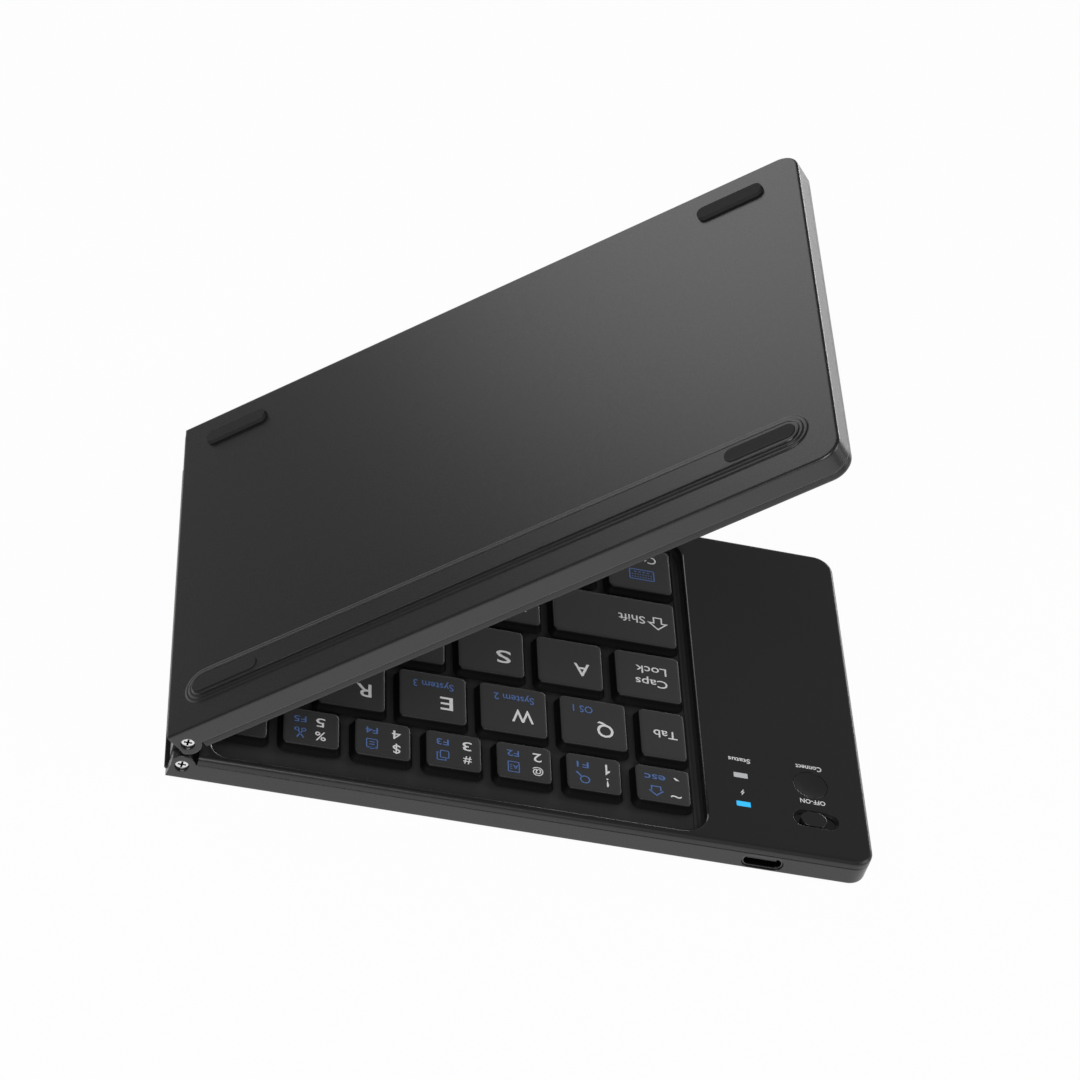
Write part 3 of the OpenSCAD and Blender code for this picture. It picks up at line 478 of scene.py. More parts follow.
def keycap(area):
    """A hollow cap with a softly rounded top edge and sloping sides."""
    x0, x1, y0, y1 = area

    def level(inset, z):
        corner = KEY_CORNER + KEY_CORNER_GROWTH * (KEY_FLARE - inset)
        outline = rounded_rectangle(x0 + inset, x1 - inset, y0 + inset, y1 - inset, corner)
        return ring(outline, z)

    def slope(z):
        return KEY_FLARE * (1 + z / KEY_SKIRT)

    rings = [level(slope(-KEY_CEILING) + KEY_WALL, -KEY_CEILING), level(KEY_WALL, -KEY_SKIRT)]
    rings += [level(0, -KEY_SKIRT), level(slope(-KEY_FLANK_END), -KEY_FLANK_END)]
    start = slope(-KEY_EDGE)
    for step in range(KEY_EDGE_STEPS + 1):
        angle = math.radians(90 * step / KEY_EDGE_STEPS)
        inwards = KEY_EDGE * (1 - math.cos(angle))
        rings.append(level(start + inwards, -KEY_EDGE * (1 - math.sin(angle))))
    rings.append(level(start + KEY_EDGE + KEY_EDGE_FLAT, 0))
    return loft(rings)


# The zones of a cap, and their places in its list of materials; the flank and the skirt are painted
# shade
TOP, FLANK, SKIRT = 0, 1, 2


def cap_painted_shade_zones(cap):
    """The zone of each face of a cap, by its height; the flank and skirt zones carry painted shade.
    """
    vertices, faces = cap
    zones = []
    for face in faces:
        height = sum(vertices[i][2] for i in face) / len(face)
        zone = TOP if height > -KEY_TOP_END else FLANK if height > -KEY_FLANK_END else SKIRT
        zones.append(zone)
    return zones


def guide_tubes(area):
    """The guide tubes under a cap: one, or three under a wide key."""
    x0, x1, y0, y1 = area
    width = x1 - x0 - 2 * KEY_FLARE
    middle = ((x0 + x1) / 2, (y0 + y1) / 2)
    offsets = [-GUIDE_SHARE * width, 0, GUIDE_SHARE * width] if width > WIDE_KEY else [0]
    tubes = []
    for offset in offsets:
        rings = [ring(circle(middle[0] + offset, middle[1], radius, GUIDE_STEPS), z)
                 for radius, z in GUIDE_PROFILE]
        tubes.append(loft(rings, caps=False))
    return tubes


# ---------------------------------------------------------------- print

# The height of a capital in the built-in font at size 1, the pen's width for icons, and the least
# cosine that a bend of a line is mitred with
FONT_CAP = 0.729
LINE = 0.3
SHARPEST = 0.35


def glyphs(words, cap_height, width=None, weight=0.02):
    """Flat letters centred on (0, 0), as (vertices, faces) in millimetres, thickened by weight."""
    curve = bpy.data.curves.new("glyphs", "FONT")
    curve.body = words
    curve.size = cap_height / FONT_CAP
    curve.offset = weight
    curve.resolution_u = 3
    curve.extrude = PRINT_DEPTH / 2
    holder = bpy.data.objects.new("glyphs", curve)
    bpy.context.scene.collection.objects.link(holder)
    mesh = bpy.data.meshes.new_from_object(holder)
    bpy.data.objects.remove(holder)
    bpy.data.curves.remove(curve)
    xs = [vertex.co.x for vertex in mesh.vertices]
    ys = [vertex.co.y for vertex in mesh.vertices]
    middle = ((min(xs) + max(xs)) / 2, (min(ys) + max(ys)) / 2)
    stretch = width / (max(xs) - min(xs)) if width else 1.0
    vertices = [((vertex.co.x - middle[0]) * stretch, vertex.co.y - middle[1], vertex.co.z)
                for vertex in mesh.vertices]
    faces = [tuple(polygon.vertices) for polygon in mesh.polygons]
    bpy.data.meshes.remove(mesh)
    return vertices, faces


def stroke(points, width, closed=False):
    """A line of even width through the points, as flat quads with a little depth."""
    count = len(points)
    left, right = [], []
    for i, point in enumerate(points):
        here = Vector(point)
        before = Vector(points[i - 1]) if closed or i > 0 else None
        after = Vector(points[(i + 1) % count]) if closed or i < count - 1 else None
        ways = []
        if before is not None:
            ways.append((here - before).normalized())
        if after is not None:
            ways.append((after - here).normalized())
        way = sum(ways, Vector((0, 0))).normalized()
        normal = Vector((-way.y, way.x))
        reach = width / 2 / max(SHARPEST, normal.dot(Vector((-ways[0].y, ways[0].x))))
        left.append(here + normal * reach)
        right.append(here - normal * reach)
    vertices = [(*point, PRINT_DEPTH / 2) for point in left + right]
    faces = []
    for i in range(count if closed else count - 1):
        j = (i + 1) % count
        faces.append((i, count + i, count + j, j))
    return vertices, faces


def filled(points):
    """A flat shape with this outline."""
    return [(*point, PRINT_DEPTH / 2) for point in points], [tuple(range(len(points)))]


def shifted(shape, u, v):
    """A shape moved by (u, v)."""
    vertices, faces = shape
    return [(x + u, y + v, z) for x, y, z in vertices], faces


# The icons are lists of shapes in a square of the given size; s is half of it


def icon_home(size):
    s = size / 2
    roof = [(-s, -0.05 * s), (0, 0.84 * s), (s, -0.05 * s)]
    walls = [(-0.66 * s, -0.05 * s), (-0.66 * s, -0.84 * s), (0.66 * s, -0.84 * s),
             (0.66 * s, -0.05 * s)]
    return [stroke(roof, LINE), stroke(walls, LINE)]


def icon_search(size):
    s = size / 2
    lens_ring = [(x - 0.2 * s, y + 0.25 * s) for x, y in circle(0, 0, 0.68 * s, 20)]
    return [stroke(lens_ring, LINE, closed=True),
            stroke([(0.28 * s, -0.28 * s), (1.05 * s, -1.15 * s)], LINE * 1.3)]


def icon_select(size):
    s = size / 2
    box = rounded_rectangle(-0.82 * s, 0.82 * s, -s, s, 0.1 * s, 2)
    lines = [stroke([(0.2 * s, v * s), (0.6 * s, v * s)], LINE * 0.6) for v in (-0.4, 0, 0.4)]
    letter = shifted(glyphs("A", size * 0.42), -0.28 * s, 0)
    return [stroke(box, LINE * 0.8, closed=True), letter, *lines]


def icon_copy(size):
    s = size / 2
    front = rounded_rectangle(-0.85 * s, 0.4 * s, -0.95 * s, 0.45 * s, 0.15 * s, 2)
    back = [(-0.4 * s, 0.62 * s), (-0.4 * s, 0.95 * s), (0.9 * s, 0.95 * s), (0.9 * s, -0.5 * s),
            (0.58 * s, -0.5 * s)]
    return [stroke(front, LINE * 0.8, closed=True), stroke(back, LINE * 0.8)]


def icon_paste(size):
    s = size / 2
    sheet = rounded_rectangle(-0.8 * s, 0.8 * s, -0.95 * s, 0.75 * s, 0.15 * s, 2)
    clip = rounded_rectangle(-0.35 * s, 0.35 * s, 0.6 * s, 1.0 * s, 0.1 * s, 2)
    return [stroke(sheet, LINE * 0.8, closed=True), filled(clip),
            stroke([(-0.4 * s, 0.1 * s), (0.4 * s, 0.1 * s)], LINE * 0.8),
            stroke([(-0.4 * s, -0.4 * s), (0.4 * s, -0.4 * s)], LINE * 0.8)]


def icon_cut(size):
    s = size / 2
    return [stroke(circle(-0.5 * s, -0.62 * s, 0.3 * s, 14), LINE * 0.8, closed=True),
            stroke(circle(0.5 * s, -0.62 * s, 0.3 * s, 14), LINE * 0.8, closed=True),
            stroke([(-0.34 * s, -0.36 * s), (0.5 * s, s)], LINE),
            stroke([(0.34 * s, -0.36 * s), (-0.5 * s, s)], LINE)]


def icon_keyboard(size):
    w = size
    h = size * 0.56
    shapes = [stroke(rounded_rectangle(-w / 2, w / 2, -h / 2, h / 2, 0.3, 3), LINE, closed=True)]
    tall = 0.14
    for row, (keys, pitch, half) in enumerate([(8, 0.11, 0.16), (8, 0.11, 0.16), (4, 0.17, 0.26)]):
        y = h * (0.26 - 0.26 * row)
        for column in range(keys):
            x = (column - (keys - 1) / 2) * pitch * w
            shapes.append(filled([(x - half, y - tall), (x + half, y - tall), (x + half, y + tall),
                                  (x - half, y + tall)]))
    return shapes


def icon_shift(size):
    s = size / 2
    arrow = [(0, s), (-s, 0.02 * s), (-0.45 * s, 0.02 * s), (-0.45 * s, -0.85 * s),
             (0.45 * s, -0.85 * s), (0.45 * s, 0.02 * s), (s, 0.02 * s)]
    return [stroke(arrow, LINE * 1.15, closed=True)]


def icon_bolt(size):
    s = size / 2
    upper = [(0.28 * s, s), (-0.5 * s, -0.12 * s), (0.02 * s, -0.12 * s), (0.2 * s, 0.14 * s)]
    lower = [(-0.28 * s, -s), (0.5 * s, 0.12 * s), (-0.02 * s, 0.12 * s), (-0.2 * s, -0.14 * s)]
    return [filled(upper), filled(lower)]


def icon_play(size, facing=1, bar=True):
    s = size / 2
    back, tip, end = -0.7 * s * facing, 0.3 * s * facing, 0.62 * s * facing
    shapes = [filled([(back, -0.6 * s), (tip, 0), (back, 0.6 * s)])]
    if bar:
        shapes.append(stroke([(end, -0.6 * s), (end, 0.6 * s)], LINE * 1.2))
    return shapes


def icon_speaker(size, waves):
    s = size / 2
    cone = [(-0.9 * s, -0.3 * s), (-0.5 * s, -0.3 * s), (-0.05 * s, -0.75 * s), (-0.05 * s, 0.75 * s),
            (-0.5 * s, 0.3 * s), (-0.9 * s, 0.3 * s)]
    shapes = [stroke(cone, LINE * 0.8, closed=True)]
    for wave in range(waves):
        radius = (0.45 + 0.4 * wave) * s
        front = [(radius * math.cos(a / 5), radius * math.sin(a / 5)) for a in range(-4, 5)]
        shapes.append(stroke(front, LINE * 0.8))
    if not waves:
        shapes += [stroke([(0.3 * s, -0.35 * s), (0.9 * s, 0.35 * s)], LINE * 0.8),
                   stroke([(0.3 * s, 0.35 * s), (0.9 * s, -0.35 * s)], LINE * 0.8)]
    return shapes


def icon_lock(size):
    s = size / 2
    shackle = [(0.42 * s * math.cos(a / 6 * math.pi), 0.1 * s + 0.62 * s * math.sin(a / 6 * math.pi))
               for a in range(7)]
    body = rounded_rectangle(-0.7 * s, 0.7 * s, -0.9 * s, 0.1 * s, 0.12 * s, 2)
    return [stroke(body, LINE, closed=True), stroke(shackle, LINE)]


def icon_arrow(size, turn):
    s = size / 2
    points = [(-s, 0), (0.15 * s, 0)]
    head = [(0.1 * s, 0.55 * s), (s, 0), (0.1 * s, -0.55 * s)]
    c, d = math.cos(turn), math.sin(turn)

    def turned(line):
        return [(x * c - y * d, x * d + y * c) for x, y in line]

    return [stroke(turned(points), LINE), filled(turned(head))]


# Inks as places in a piece's list of materials; the heights of letters and icons, how much letters
# are thickened, the pen's width for a 1, and the widths of letters and digits
WHITE, BLUE = 0, 1
CAP_LETTER = 4.0
CAP_DIGIT = 2.6
CAP_LABEL = 2.4
CAP_MODE = 2.1
CAP_SMALL = 1.8
CAP_TINY = 1.5
ICON = 2.9
ARROW = 2.8
LETTER_WEIGHT = 0.05
PANEL_WEIGHT = 0.03
DIGIT_PEN = 0.42
LETTER_WIDTH = 3.3
NARROW_LETTERS = {"E": 2.8, "F": 2.7, "L": 2.6, "I": 0.6, "J": 2.2}
ROUND_LETTERS = {"Q": 3.7, "O": 3.7, "G": 3.6, "C": 3.5, "D": 3.4, "A": 3.5, "V": 3.4, "Y": 3.3}
WIDE_LETTERS = {"W": 4.8, "M": 4.0}
LETTER_WIDTHS = {**NARROW_LETTERS, **ROUND_LETTERS, **WIDE_LETTERS}
DIGIT_WIDTH = 1.95
FUNCTION_WIDTH = 2.65
SYMBOL_SIZES = {"@": (2.0, 2.4), "#": (2.3, 1.8), "^": (1.4, 1.4)}

# Places on a key from the middle of its skirt: u to the reader's right, v away from the reader
LETTER_START = -4.4
LETTER_V = 1.5
DIGIT_U = -2.95
DIGIT_V = -1.9
SYMBOL_V = 2.1
MARK_U = -2.9
MARK_V = 2.0
FUNCTION_U = 2.35
FUNCTION_V = -2.15
ICON_U = 2.3
ICON_V = 1.8
MODE_V = -3.8
TINY_V = -4.0
BAR_V = -5.2


def digit(figure):
    """A digit or symbol; a 1 has a flag."""
    if figure == "1":
        flag, top, foot = (-0.62, 0.5), (0.1, CAP_DIGIT / 2), (0.1, -CAP_DIGIT / 2)
        return [stroke([flag, top, foot], DIGIT_PEN)]
    cap, width = SYMBOL_SIZES.get(figure, (CAP_DIGIT, DIGIT_WIDTH if figure.isdigit() else None))
    return [glyphs(figure, cap, width)]


def digit_key(lower, upper, name, icon, u=DIGIT_U):
    """The print of a number key: symbol over digit at the left, blue function at the right."""
    return [
        (WHITE, digit(lower), u, DIGIT_V),
        (WHITE, digit(upper), u, SYMBOL_V),
        (BLUE, [glyphs(name, CAP_SMALL, FUNCTION_WIDTH)], FUNCTION_U, FUNCTION_V),
        (BLUE, icon, ICON_U, ICON_V),
    ]


def letter_key(letter):
    """A letter that starts where all letters start."""
    width = LETTER_WIDTHS.get(letter, LETTER_WIDTH)
    drawn = glyphs(letter, CAP_LETTER, width, LETTER_WEIGHT)
    return [(WHITE, [drawn], LETTER_START + width / 2, LETTER_V)]


def mark_key(lower, upper, u=MARK_U):
    """One mark over another."""
    below, above = glyphs(lower, CAP_DIGIT), glyphs(upper, CAP_DIGIT)
    return [(WHITE, [below], u, DIGIT_V), (WHITE, [above], u, MARK_V)]


def word_key(words, u=0.0, v=0.0, cap=CAP_LABEL, width=None):
    """A white word."""
    return [(WHITE, [glyphs(words, cap, width)], u, v)]


def mode_key(letter, mode, u, width):
    """A letter with the blue name of a mode under it."""
    return letter_key(letter) + [(BLUE, [glyphs(mode, CAP_MODE, width)], u, MODE_V)]


def bar_key(letter):
    """A letter with the small bar that the forefinger feels for."""
    bar = stroke([(-1.4, 0), (1.4, 0)], LINE)
    return [*letter_key(letter), (WHITE, [bar], 0.0, BAR_V)]


def arrow_key(turn, words):
    """A white arrow with blue words under it."""
    return [
        (WHITE, icon_arrow(ARROW, turn), 0.0, 0.0),
        (BLUE, [glyphs(words, CAP_TINY)], 0.0, TINY_V),
    ]


# What stands on each left key, and on each key of the right rows from the outer end to the hinge
LEFT_PRINT = {
    "key_tilde": lambda: [
        (WHITE, [glyphs("~", 3.2, 2.4)], -2.75, 3.0),
        (WHITE, [glyphs("`", 3.4, 1.4)], -3.1, -2.2),
        (BLUE, [glyphs("esc", CAP_MODE, 4.7)], 1.7, -2.0),
        (BLUE, icon_home(3.1), 1.6, 2.1),
    ],
    "key_1": lambda: digit_key("1", "!", "F1", icon_search(ICON)),
    "key_2": lambda: digit_key("2", "@", "F2", icon_select(ICON)),
    "key_3": lambda: digit_key("3", "#", "F3", icon_copy(ICON)),
    "key_4": lambda: digit_key("4", "$", "F4", icon_paste(ICON)),
    "key_5": lambda: digit_key("5", "%", "F5", icon_cut(ICON), -2.0),
    "key_6": lambda: [
        (WHITE, digit("6"), -2.2, -2.0),
        (WHITE, digit("^"), -2.2, 0.9),
        (BLUE, [glyphs("F6", CAP_SMALL)], 2.0, -2.2),
        (BLUE, icon_play(ICON, -1), 2.0, 1.75),
    ],
    "key_tab": lambda: word_key("Tab", -0.6, -0.1, width=5.35),
    "key_q": lambda: mode_key("Q", "OS 1", 2.25, 4.4),
    "key_w": lambda: mode_key("W", "System 2", -0.2, 8.9),
    "key_e": lambda: mode_key("E", "System 3", -0.2, 8.9),
    "key_r": lambda: letter_key("R"),
    "key_t": lambda: letter_key("T"),
    "key_caps": lambda: [
        *word_key("Caps", -0.7, 1.6, width=7.3),
        *word_key("Lock", -0.8, -2.0, width=7.0),
    ],
    "key_a": lambda: letter_key("A"),
    "key_s": lambda: letter_key("S"),
    "key_d": lambda: letter_key("D"),
    "key_f": lambda: bar_key("F"),
    "key_g": lambda: [(WHITE, [glyphs("G", CAP_LETTER)], -1.6, 1.45)],
    "key_shift": lambda: [
        *word_key("Shift", -4.1, -0.5, width=6.2),
        (WHITE, icon_shift(4.0), -10.1, -0.2),
    ],
    "key_z": lambda: letter_key("Z"),
    "key_x": lambda: letter_key("X"),
    "key_c": lambda: letter_key("C"),
    "key_v": lambda: letter_key("V"),
    "key_ctrl": lambda: [
        *word_key("Ctrl", -1.6, -3.4),
        (BLUE, icon_keyboard(5.7), -0.5, 1.9),
    ],
    "key_fn": lambda: [(BLUE, [glyphs("Fn", 2.6)], -1.8, 1.6)],
    "key_option": lambda: word_key("Start", -0.6, 1.6, cap=2.1),
    "key_alt": lambda: word_key("Alt", -1.6, 1.6),
    "key_space": lambda: [],
}

RIGHT_PRINT = {
    "right_number_row": lambda: [
        word_key("Backspace", 0.0, -0.2, cap=2.1),
        word_key("Del", cap=2.1),
        digit_key("=", "+", "F12", icon_lock(ICON)),
        digit_key("-", "_", "F11", icon_speaker(ICON, 2)),
        digit_key("0", ")", "F10", icon_speaker(ICON, 1)),
        digit_key("9", "(", "F9", icon_speaker(ICON, 0)),
        digit_key("8", "*", "F8", icon_play(ICON, 1)),
        digit_key("7", "&", "F7", icon_play(ICON, 1, False)),
    ],
    "right_top_row": lambda: [
        mark_key("\\", "|", u=-1.6),
        mark_key("]", "}"),
        mark_key("[", "{"),
        letter_key("P"),
        letter_key("O"),
        letter_key("I"),
        letter_key("U"),
        letter_key("Y"),
    ],
    "right_home_row": lambda: [
        word_key("Enter", -4.0, 1.6),
        mark_key("'", '"'),
        mark_key(";", ":"),
        letter_key("L"),
        letter_key("K"),
        bar_key("J"),
        letter_key("H"),
    ],
    "right_lower_row": lambda: [
        word_key("Shift", 0.0, 1.6, cap=1.9),
        arrow_key(math.pi / 2, "PgUp"),
        mark_key("/", "?"),
        mark_key(".", ">"),
        mark_key(",", "<"),
        letter_key("M"),
        letter_key("N"),
        letter_key("B"),
    ],
    "right_space_row": lambda: [
        arrow_key(0.0, "End"),
        arrow_key(-math.pi / 2, "PgDn"),
        arrow_key(math.pi, "Home"),
        word_key("Ctrl", -1.6, 1.6),
        word_key("Alt", -1.6, 1.6),
        [],
    ],
}


def placed_print(items, side, x, y):
    """Print items round (x, y) of a half. A reader at the front edge sees them upright."""
    across = -1 if side == "left" else 1
    parts = []
    for ink, shapes, u, v in items:
        for shape in shapes:
            vertices, faces = shifted(shape, u, v)
            spots = [(x + across * a, y - b, PRINT_LIFT + c) for a, b, c in vertices]
            if side == "right":
                faces = [tuple(reversed(face)) for face in faces]
            parts.append((spots, faces, ink))
    return parts


def area_middle(area):
    """The middle of a key's skirt."""
    return (area[0] + area[1]) / 2, (area[2] + area[3]) / 2


def key_piece(node, side, body, prints):
    """The caps of a key node, which they replace, and the print on them."""
    areas = key_areas(node, side)
    parts = []
    for area in areas:
        cap = keycap(area)
        # Each cap's flank and skirt, and the guide tubes under it, get painted shade
        parts.append((*cap, cap_painted_shade_zones(cap)))
        parts += [(*tube, SKIRT) for tube in guide_tubes(area)]
    add_piece(node + "_cap", side, body, parts, [KEY, KEY_FLANK_PAINTED_SHADE, KEY_SKIRT_PAINTED_SHADE], [node])
    ink_parts = []
    for area, items in zip(areas, prints):
        ink_parts += placed_print(items, side, *area_middle(area))
    if ink_parts:
        add_piece(node + "_print", side, body, ink_parts, [WHITE_INK, BLUE_INK],
                  smooth_deg=20, outward=False)


for key_node, make_print in LEFT_PRINT.items():
    key_piece(key_node, "left", key_node, [make_print()])
for row_node, make_prints in RIGHT_PRINT.items():
    key_piece(row_node, "right", row_node, make_prints())

# ---------------------------------------------------------------- control panel


def node_middle(node):
    """The middle of a node's box in the millimetres of the left half."""
    low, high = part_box(node)
    return HALVES["left"].inverted() @ ((low + high) / 2)


status = node_middle("status_light")
charge = node_middle("charge_light")
button = node_middle("connect_button")

# The panel's words and icon, each as (ink, shapes, x, y)
PANEL_PRINT = [
    (WHITE, [glyphs("Status", 1.35, 5.0, PANEL_WEIGHT)], status.x, status.y + 4.55),
    (WHITE, icon_bolt(1.9), status.x, charge.y + 3.4),
    (WHITE, [glyphs("Connect", 1.4, 5.9, PANEL_WEIGHT)], button.x, button.y + 5.1),
    (WHITE, [glyphs("OFF-ON", 1.3, 5.7, PANEL_WEIGHT)], button.x, button.y - 5.1),
]
panel_parts = []
for panel_ink, panel_shapes, panel_x, panel_y in PANEL_PRINT:
    panel_parts += placed_print([(panel_ink, panel_shapes, 0, 0)], "left", panel_x, panel_y)
add_piece("panel_print", "left", "left_half", panel_parts, [WHITE_INK, BLUE_INK],
          smooth_deg=20, outward=False)

# ---------------------------------------------------------------- polished edges, and painted shade in the slider's recess and the screw slots

# The key well, as the part's source has it: where it starts, its border, the deck at its outer
# end, the rounding of its edge and its corners' radii; and the skin on that rounding
WELL = {"hinge_end": 8.85, "rim": 2.1, "left_end": 36.9, "right_end": 2.1}
WELL_ROUND = 0.8
WELL_RADII = {"hinge": 3.0, "outer": 6.0}
POLISH_LIFT = 0.015
POLISH_DEPTH = 0.15
POLISH_STEPS = 8
WELL_CORNER_STEPS = 16


def well_outline(side, out):
    """The key well's outline, moved outwards."""
    high = half_box(side + "_bottom_cover", side)[1]
    x0, x1 = WELL["hinge_end"], high.x - WELL[side + "_end"]
    y0, y1 = WELL["rim"], high.y - WELL["rim"]
    near, far = WELL_RADII["hinge"], WELL_RADII["outer"]
    corners = [
        (x1 - far, y1 - far, far + out, 0),
        (x0 + near, y1 - near, near + out, 90),
        (x0 + near, y0 + near, near + out, 180),
        (x1 - far, y0 + far, far + out, 270),
    ]
    return corner_arcs(corners, WELL_CORNER_STEPS)


def well_edge(side):
    """The polished round edge of the key well: a skin on the rounding, closed below it."""
    over = arc(WELL_ROUND, -WELL_ROUND, WELL_ROUND + POLISH_LIFT, 180, -90, POLISH_STEPS)
    under = arc(WELL_ROUND, -WELL_ROUND, WELL_ROUND - POLISH_DEPTH, 90, 90, POLISH_STEPS)
    return loft([ring(well_outline(side, out), z) for out, z in over + under], closed=True)


# The ridge, as the part's source has it, and the bead round its top as (distance inwards, rise)
RIDGE = {"hinge_end": 4.4, "outer_end": 5.8, "y": 11.2, "width": 9.4, "tier": 0.87, "tiers": 3}
BEAD = [(0.30, -0.05), (0.30, 0.0), (0.22, 0.06), (0.14, 0.08), (0.06, 0.06), (0.01, 0.0),
        (0.01, -0.05)]


def ridge_bead(side):
    """The thin bead round the top of the ridge on a half's outer face."""
    low, high = half_box(side + "_bottom_cover", side)
    length = high.x - RIDGE["outer_end"] - RIDGE["hinge_end"]
    inset = (RIDGE["tiers"] - 1) * RIDGE["tier"]
    middle = RIDGE["hinge_end"] + length / 2
    rings = []
    for step, rise in BEAD:
        shrink = 2 * (inset + step)
        outline = stadium(middle, RIDGE["y"], length - shrink, RIDGE["width"] - shrink)
        rings.append(ring(outline, low.z - rise))
    return loft(rings, closed=True)


# The slider's recess, as the part's source has it: its middle from the outer end and the rear edge,
# its depth, its floor and how far its walls slope out; and the near-black skin of painted shade
# inside it, open over the slot
RECESS = {"out": 12.2, "y": 11.1, "depth": 0.9, "length": 10.3, "width": 5.0, "slope": 0.35}
SLOT_LENGTH = 5.6
SLOT_WIDTH = 1.6
SKIN_GAP = 0.02
SKIN = 0.01


def recess_painted_shade_skin():
    """A near-black skin of painted shade in the slider's recess: its sloping wall and the floor round
    the slot.
    """
    x = half_box("left_bottom_cover", "left")[1].x - RECESS["out"]
    y = RECESS["y"]
    mouth = 2 * RECESS["slope"] - SKIN_GAP
    top = stadium(x, y, RECESS["length"] + mouth, RECESS["width"] + mouth)
    floor = stadium(x, y, RECESS["length"] - 2 * SKIN_GAP, RECESS["width"] - 2 * SKIN_GAP)
    slot = stadium(x, y, SLOT_LENGTH, SLOT_WIDTH)
    over = -RECESS["depth"] + SKIN_GAP
    under = over - SKIN
    levels = [(top, -SKIN), (floor, over), (slot, over), (slot, under), (floor, under)]
    return loft([ring(outline, z) for outline, z in levels], closed=True)


# The painted shadow in a screw's cross slots: length, width, and depths below the head
CROSS_LENGTH = 1.66
CROSS_WIDTH = 0.38
CROSS_DEPTHS = (0.1, 0.36)


def screw_crosses():
    """Painted shadow: the near-black bottoms of the cross slots of the hinge screws."""
    low, high = half_box("hinge_screws", "left")
    long, wide = CROSS_LENGTH / 2, CROSS_WIDTH / 2
    quarter = [(long, wide), (wide, wide), (wide, long)]
    upper = quarter + [(-u, v) for u, v in reversed(quarter)]
    outline = upper + [(u, -v) for u, v in reversed(upper)]
    parts = []
    for name in ("left_pivot", "right_pivot"):
        pivot = HALVES["left"].inverted() @ Vector(JOINTS[name]["pos_m"])
        for face, inward in ((low.y, 1), (high.y, -1)):
            rings = [[(pivot.x + u, face + inward * depth, pivot.z + v) for u, v in outline]
                     for depth in CROSS_DEPTHS]
            parts.append((*loft(rings), 0))
    return parts


for half_side in ("left", "right"):
    half_body = half_side + "_half"
    edge_parts = [(*well_edge(half_side), 0)]
    bead_parts = [(*ridge_bead(half_side), 0)]
    add_piece(half_side + "_well_edge", half_side, half_body, edge_parts, [POLISHED])
    add_piece(half_side + "_ridge_bead", half_side, half_body, bead_parts, [POLISHED])
add_piece("recess_painted_shade_skin", "left", "left_half", [(*recess_painted_shade_skin(), 0)], [RECESS_PAINTED_SHADE])
add_piece("screw_crosses", "left", "link", screw_crosses(), [SLOT_PAINTED_SHADOW])

# ---------------------------------------------------------------- floor, lights and camera

# Metres: the floor's size and the point that the lamps face. The floor's shade for the object's
# light, its share of plain white where the camera or a reflection sees it, and the world's light
FLOOR_SIZE = 6.0
MIDDLE = Vector((0, 0, 0.04))
FLOOR_PAINT = 0.9
FLOOR_GLOW = 0.965
WORLD_LIGHT = 0.17


def white_floor():
    """White to the camera and in reflections, with the object's soft shadow left on it."""
    material = bpy.data.materials.new("floor_white")
    material.use_nodes = True
    nodes = material.node_tree.nodes
    links = material.node_tree.links
    nodes.clear()
    output = nodes.new("ShaderNodeOutputMaterial")
    paint = nodes.new("ShaderNodeBsdfDiffuse")
    paint.inputs["Color"].default_value = (FLOOR_PAINT, FLOOR_PAINT, FLOOR_PAINT, 1)
    light = nodes.new("ShaderNodeEmission")
    light.inputs["Strength"].default_value = 1.0
    path = nodes.new("ShaderNodeLightPath")
    seen = path.outputs["Is Camera Ray"]
    for ray in ("Is Glossy Ray", "Is Transmission Ray"):
        either = nodes.new("ShaderNodeMath")
        either.operation = "MAXIMUM"
        links.new(seen, either.inputs[0])
        links.new(path.outputs[ray], either.inputs[1])
        seen = either.outputs[0]
    share = nodes.new("ShaderNodeMath")
    share.operation = "MULTIPLY"
    share.inputs[1].default_value = FLOOR_GLOW
    links.new(seen, share.inputs[0])
    mix = nodes.new("ShaderNodeMixShader")
    links.new(share.outputs[0], mix.inputs["Fac"])
    links.new(paint.outputs[0], mix.inputs[1])
    links.new(light.outputs[0], mix.inputs[2])
    links.new(mix.outputs[0], output.inputs["Surface"])
    return material


def add_floor(size):
    """The floor, a square at height 0 under the object."""
    mesh = bpy.data.meshes.new("floor")
    h = size / 2
    mesh.from_pydata([(-h, -h, 0), (h, -h, 0), (h, h, 0), (-h, h, 0)], [], [(0, 1, 2, 3)])
    mesh.materials.append(white_floor())
    floor = bpy.data.objects.new("floor", mesh)
    bpy.context.scene.collection.objects.link(floor)


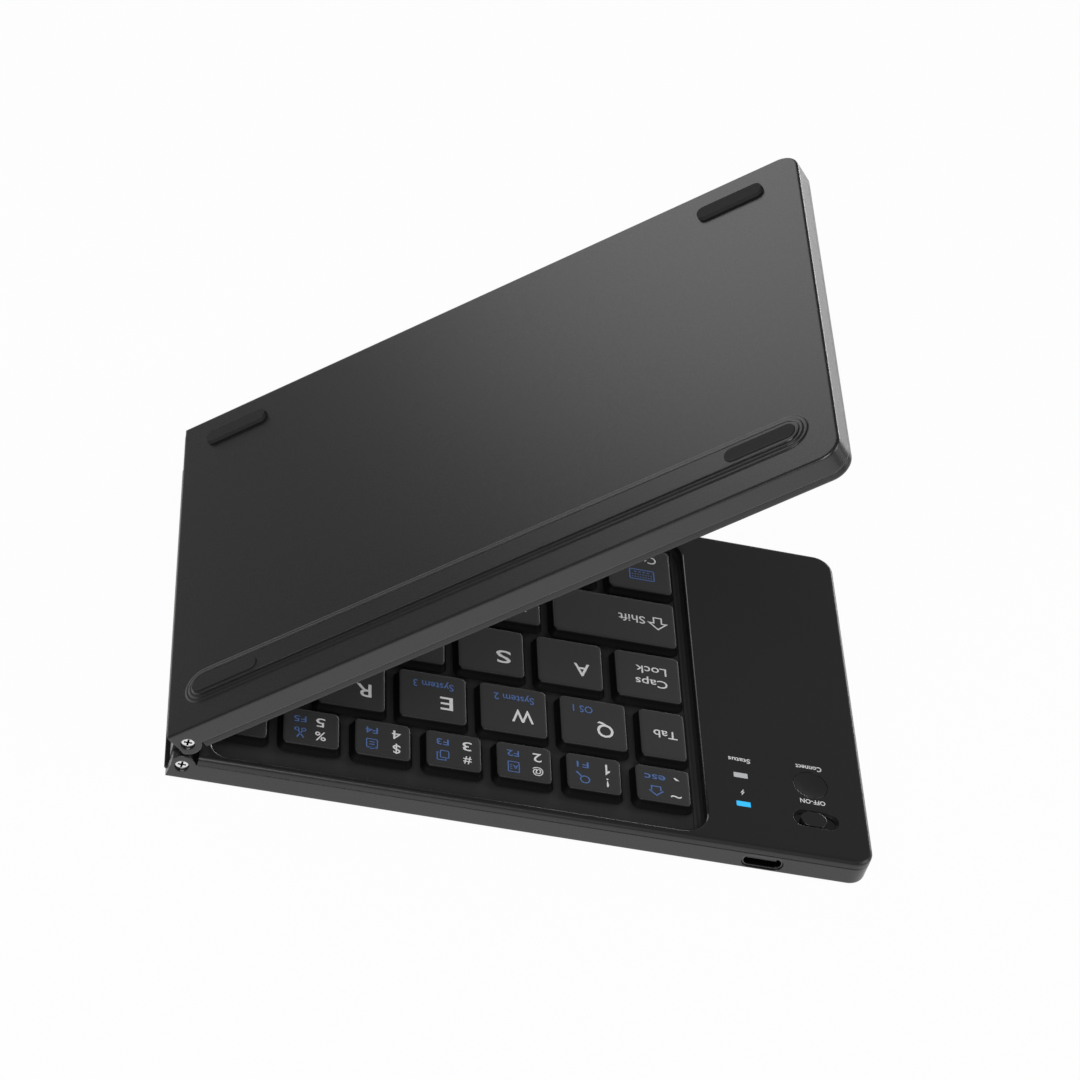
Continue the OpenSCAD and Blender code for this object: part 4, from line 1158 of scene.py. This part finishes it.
def area_light(name, place, size, power):
    """A rectangular lamp, placed in metres, that faces the middle of the object."""
    lamp = bpy.data.lights.new(name, "AREA")
    lamp.shape = "RECTANGLE"
    lamp.size, lamp.size_y = size
    lamp.energy = power
    light = bpy.data.objects.new(name, lamp)
    light.location = place
    light.rotation_euler = (MIDDLE - Vector(place)).to_track_quat("-Z", "Y").to_euler()
    bpy.context.scene.collection.objects.link(light)


add_floor(FLOOR_SIZE)
area_light("key_light", (-0.30, -0.80, 0.80), (0.7, 0.7), 8.0)
area_light("side_light", (0.95, -0.15, 0.55), (0.6, 0.6), 3.0)
area_light("back_light", (-0.44, 0.86, 0.36), (0.4, 0.3), 0.7)
area_light("rim_light", (0.80, 0.95, 0.12), (0.6, 0.2), 2.2)
area_light("horizon_light", (0.75, 1.25, 0.11), (1.0, 0.12), 1.6)

world = bpy.data.worlds.new("studio")
bpy.context.scene.world = world
world.use_nodes = True
world.node_tree.nodes["Background"].inputs["Color"].default_value = (1, 1, 1, 1)
world.node_tree.nodes["Background"].inputs["Strength"].default_value = WORLD_LIGHT

# The camera, in metres: where the photograph was taken from and what it points at; its roll, its
# long lens and its sensor's width in millimetres
CAMERA_AT = Vector((-0.15076, -0.55154, 0.51507))
CAMERA_TO = Vector((-0.00101, 0.01103, 0.0300))
CAMERA_ROLL_DEG = 19.62
CAMERA_LENS = 116.73
CAMERA_SENSOR = 36
CAMERA_NEAR = 0.01


def add_camera():
    """The photograph's view."""
    data = bpy.data.cameras.new("camera")
    data.lens = CAMERA_LENS
    data.sensor_width = CAMERA_SENSOR
    data.clip_start = CAMERA_NEAR
    camera = bpy.data.objects.new("camera", data)
    look = (CAMERA_TO - CAMERA_AT).to_track_quat("-Z", "Y").to_matrix()
    roll = Matrix.Rotation(math.radians(CAMERA_ROLL_DEG), 3, "Z")
    camera.matrix_world = Matrix.Translation(CAMERA_AT) @ (look @ roll).to_4x4()
    bpy.context.scene.collection.objects.link(camera)
    bpy.context.scene.camera = camera


add_camera()
bpy.context.scene.view_settings.view_transform = "Standard"
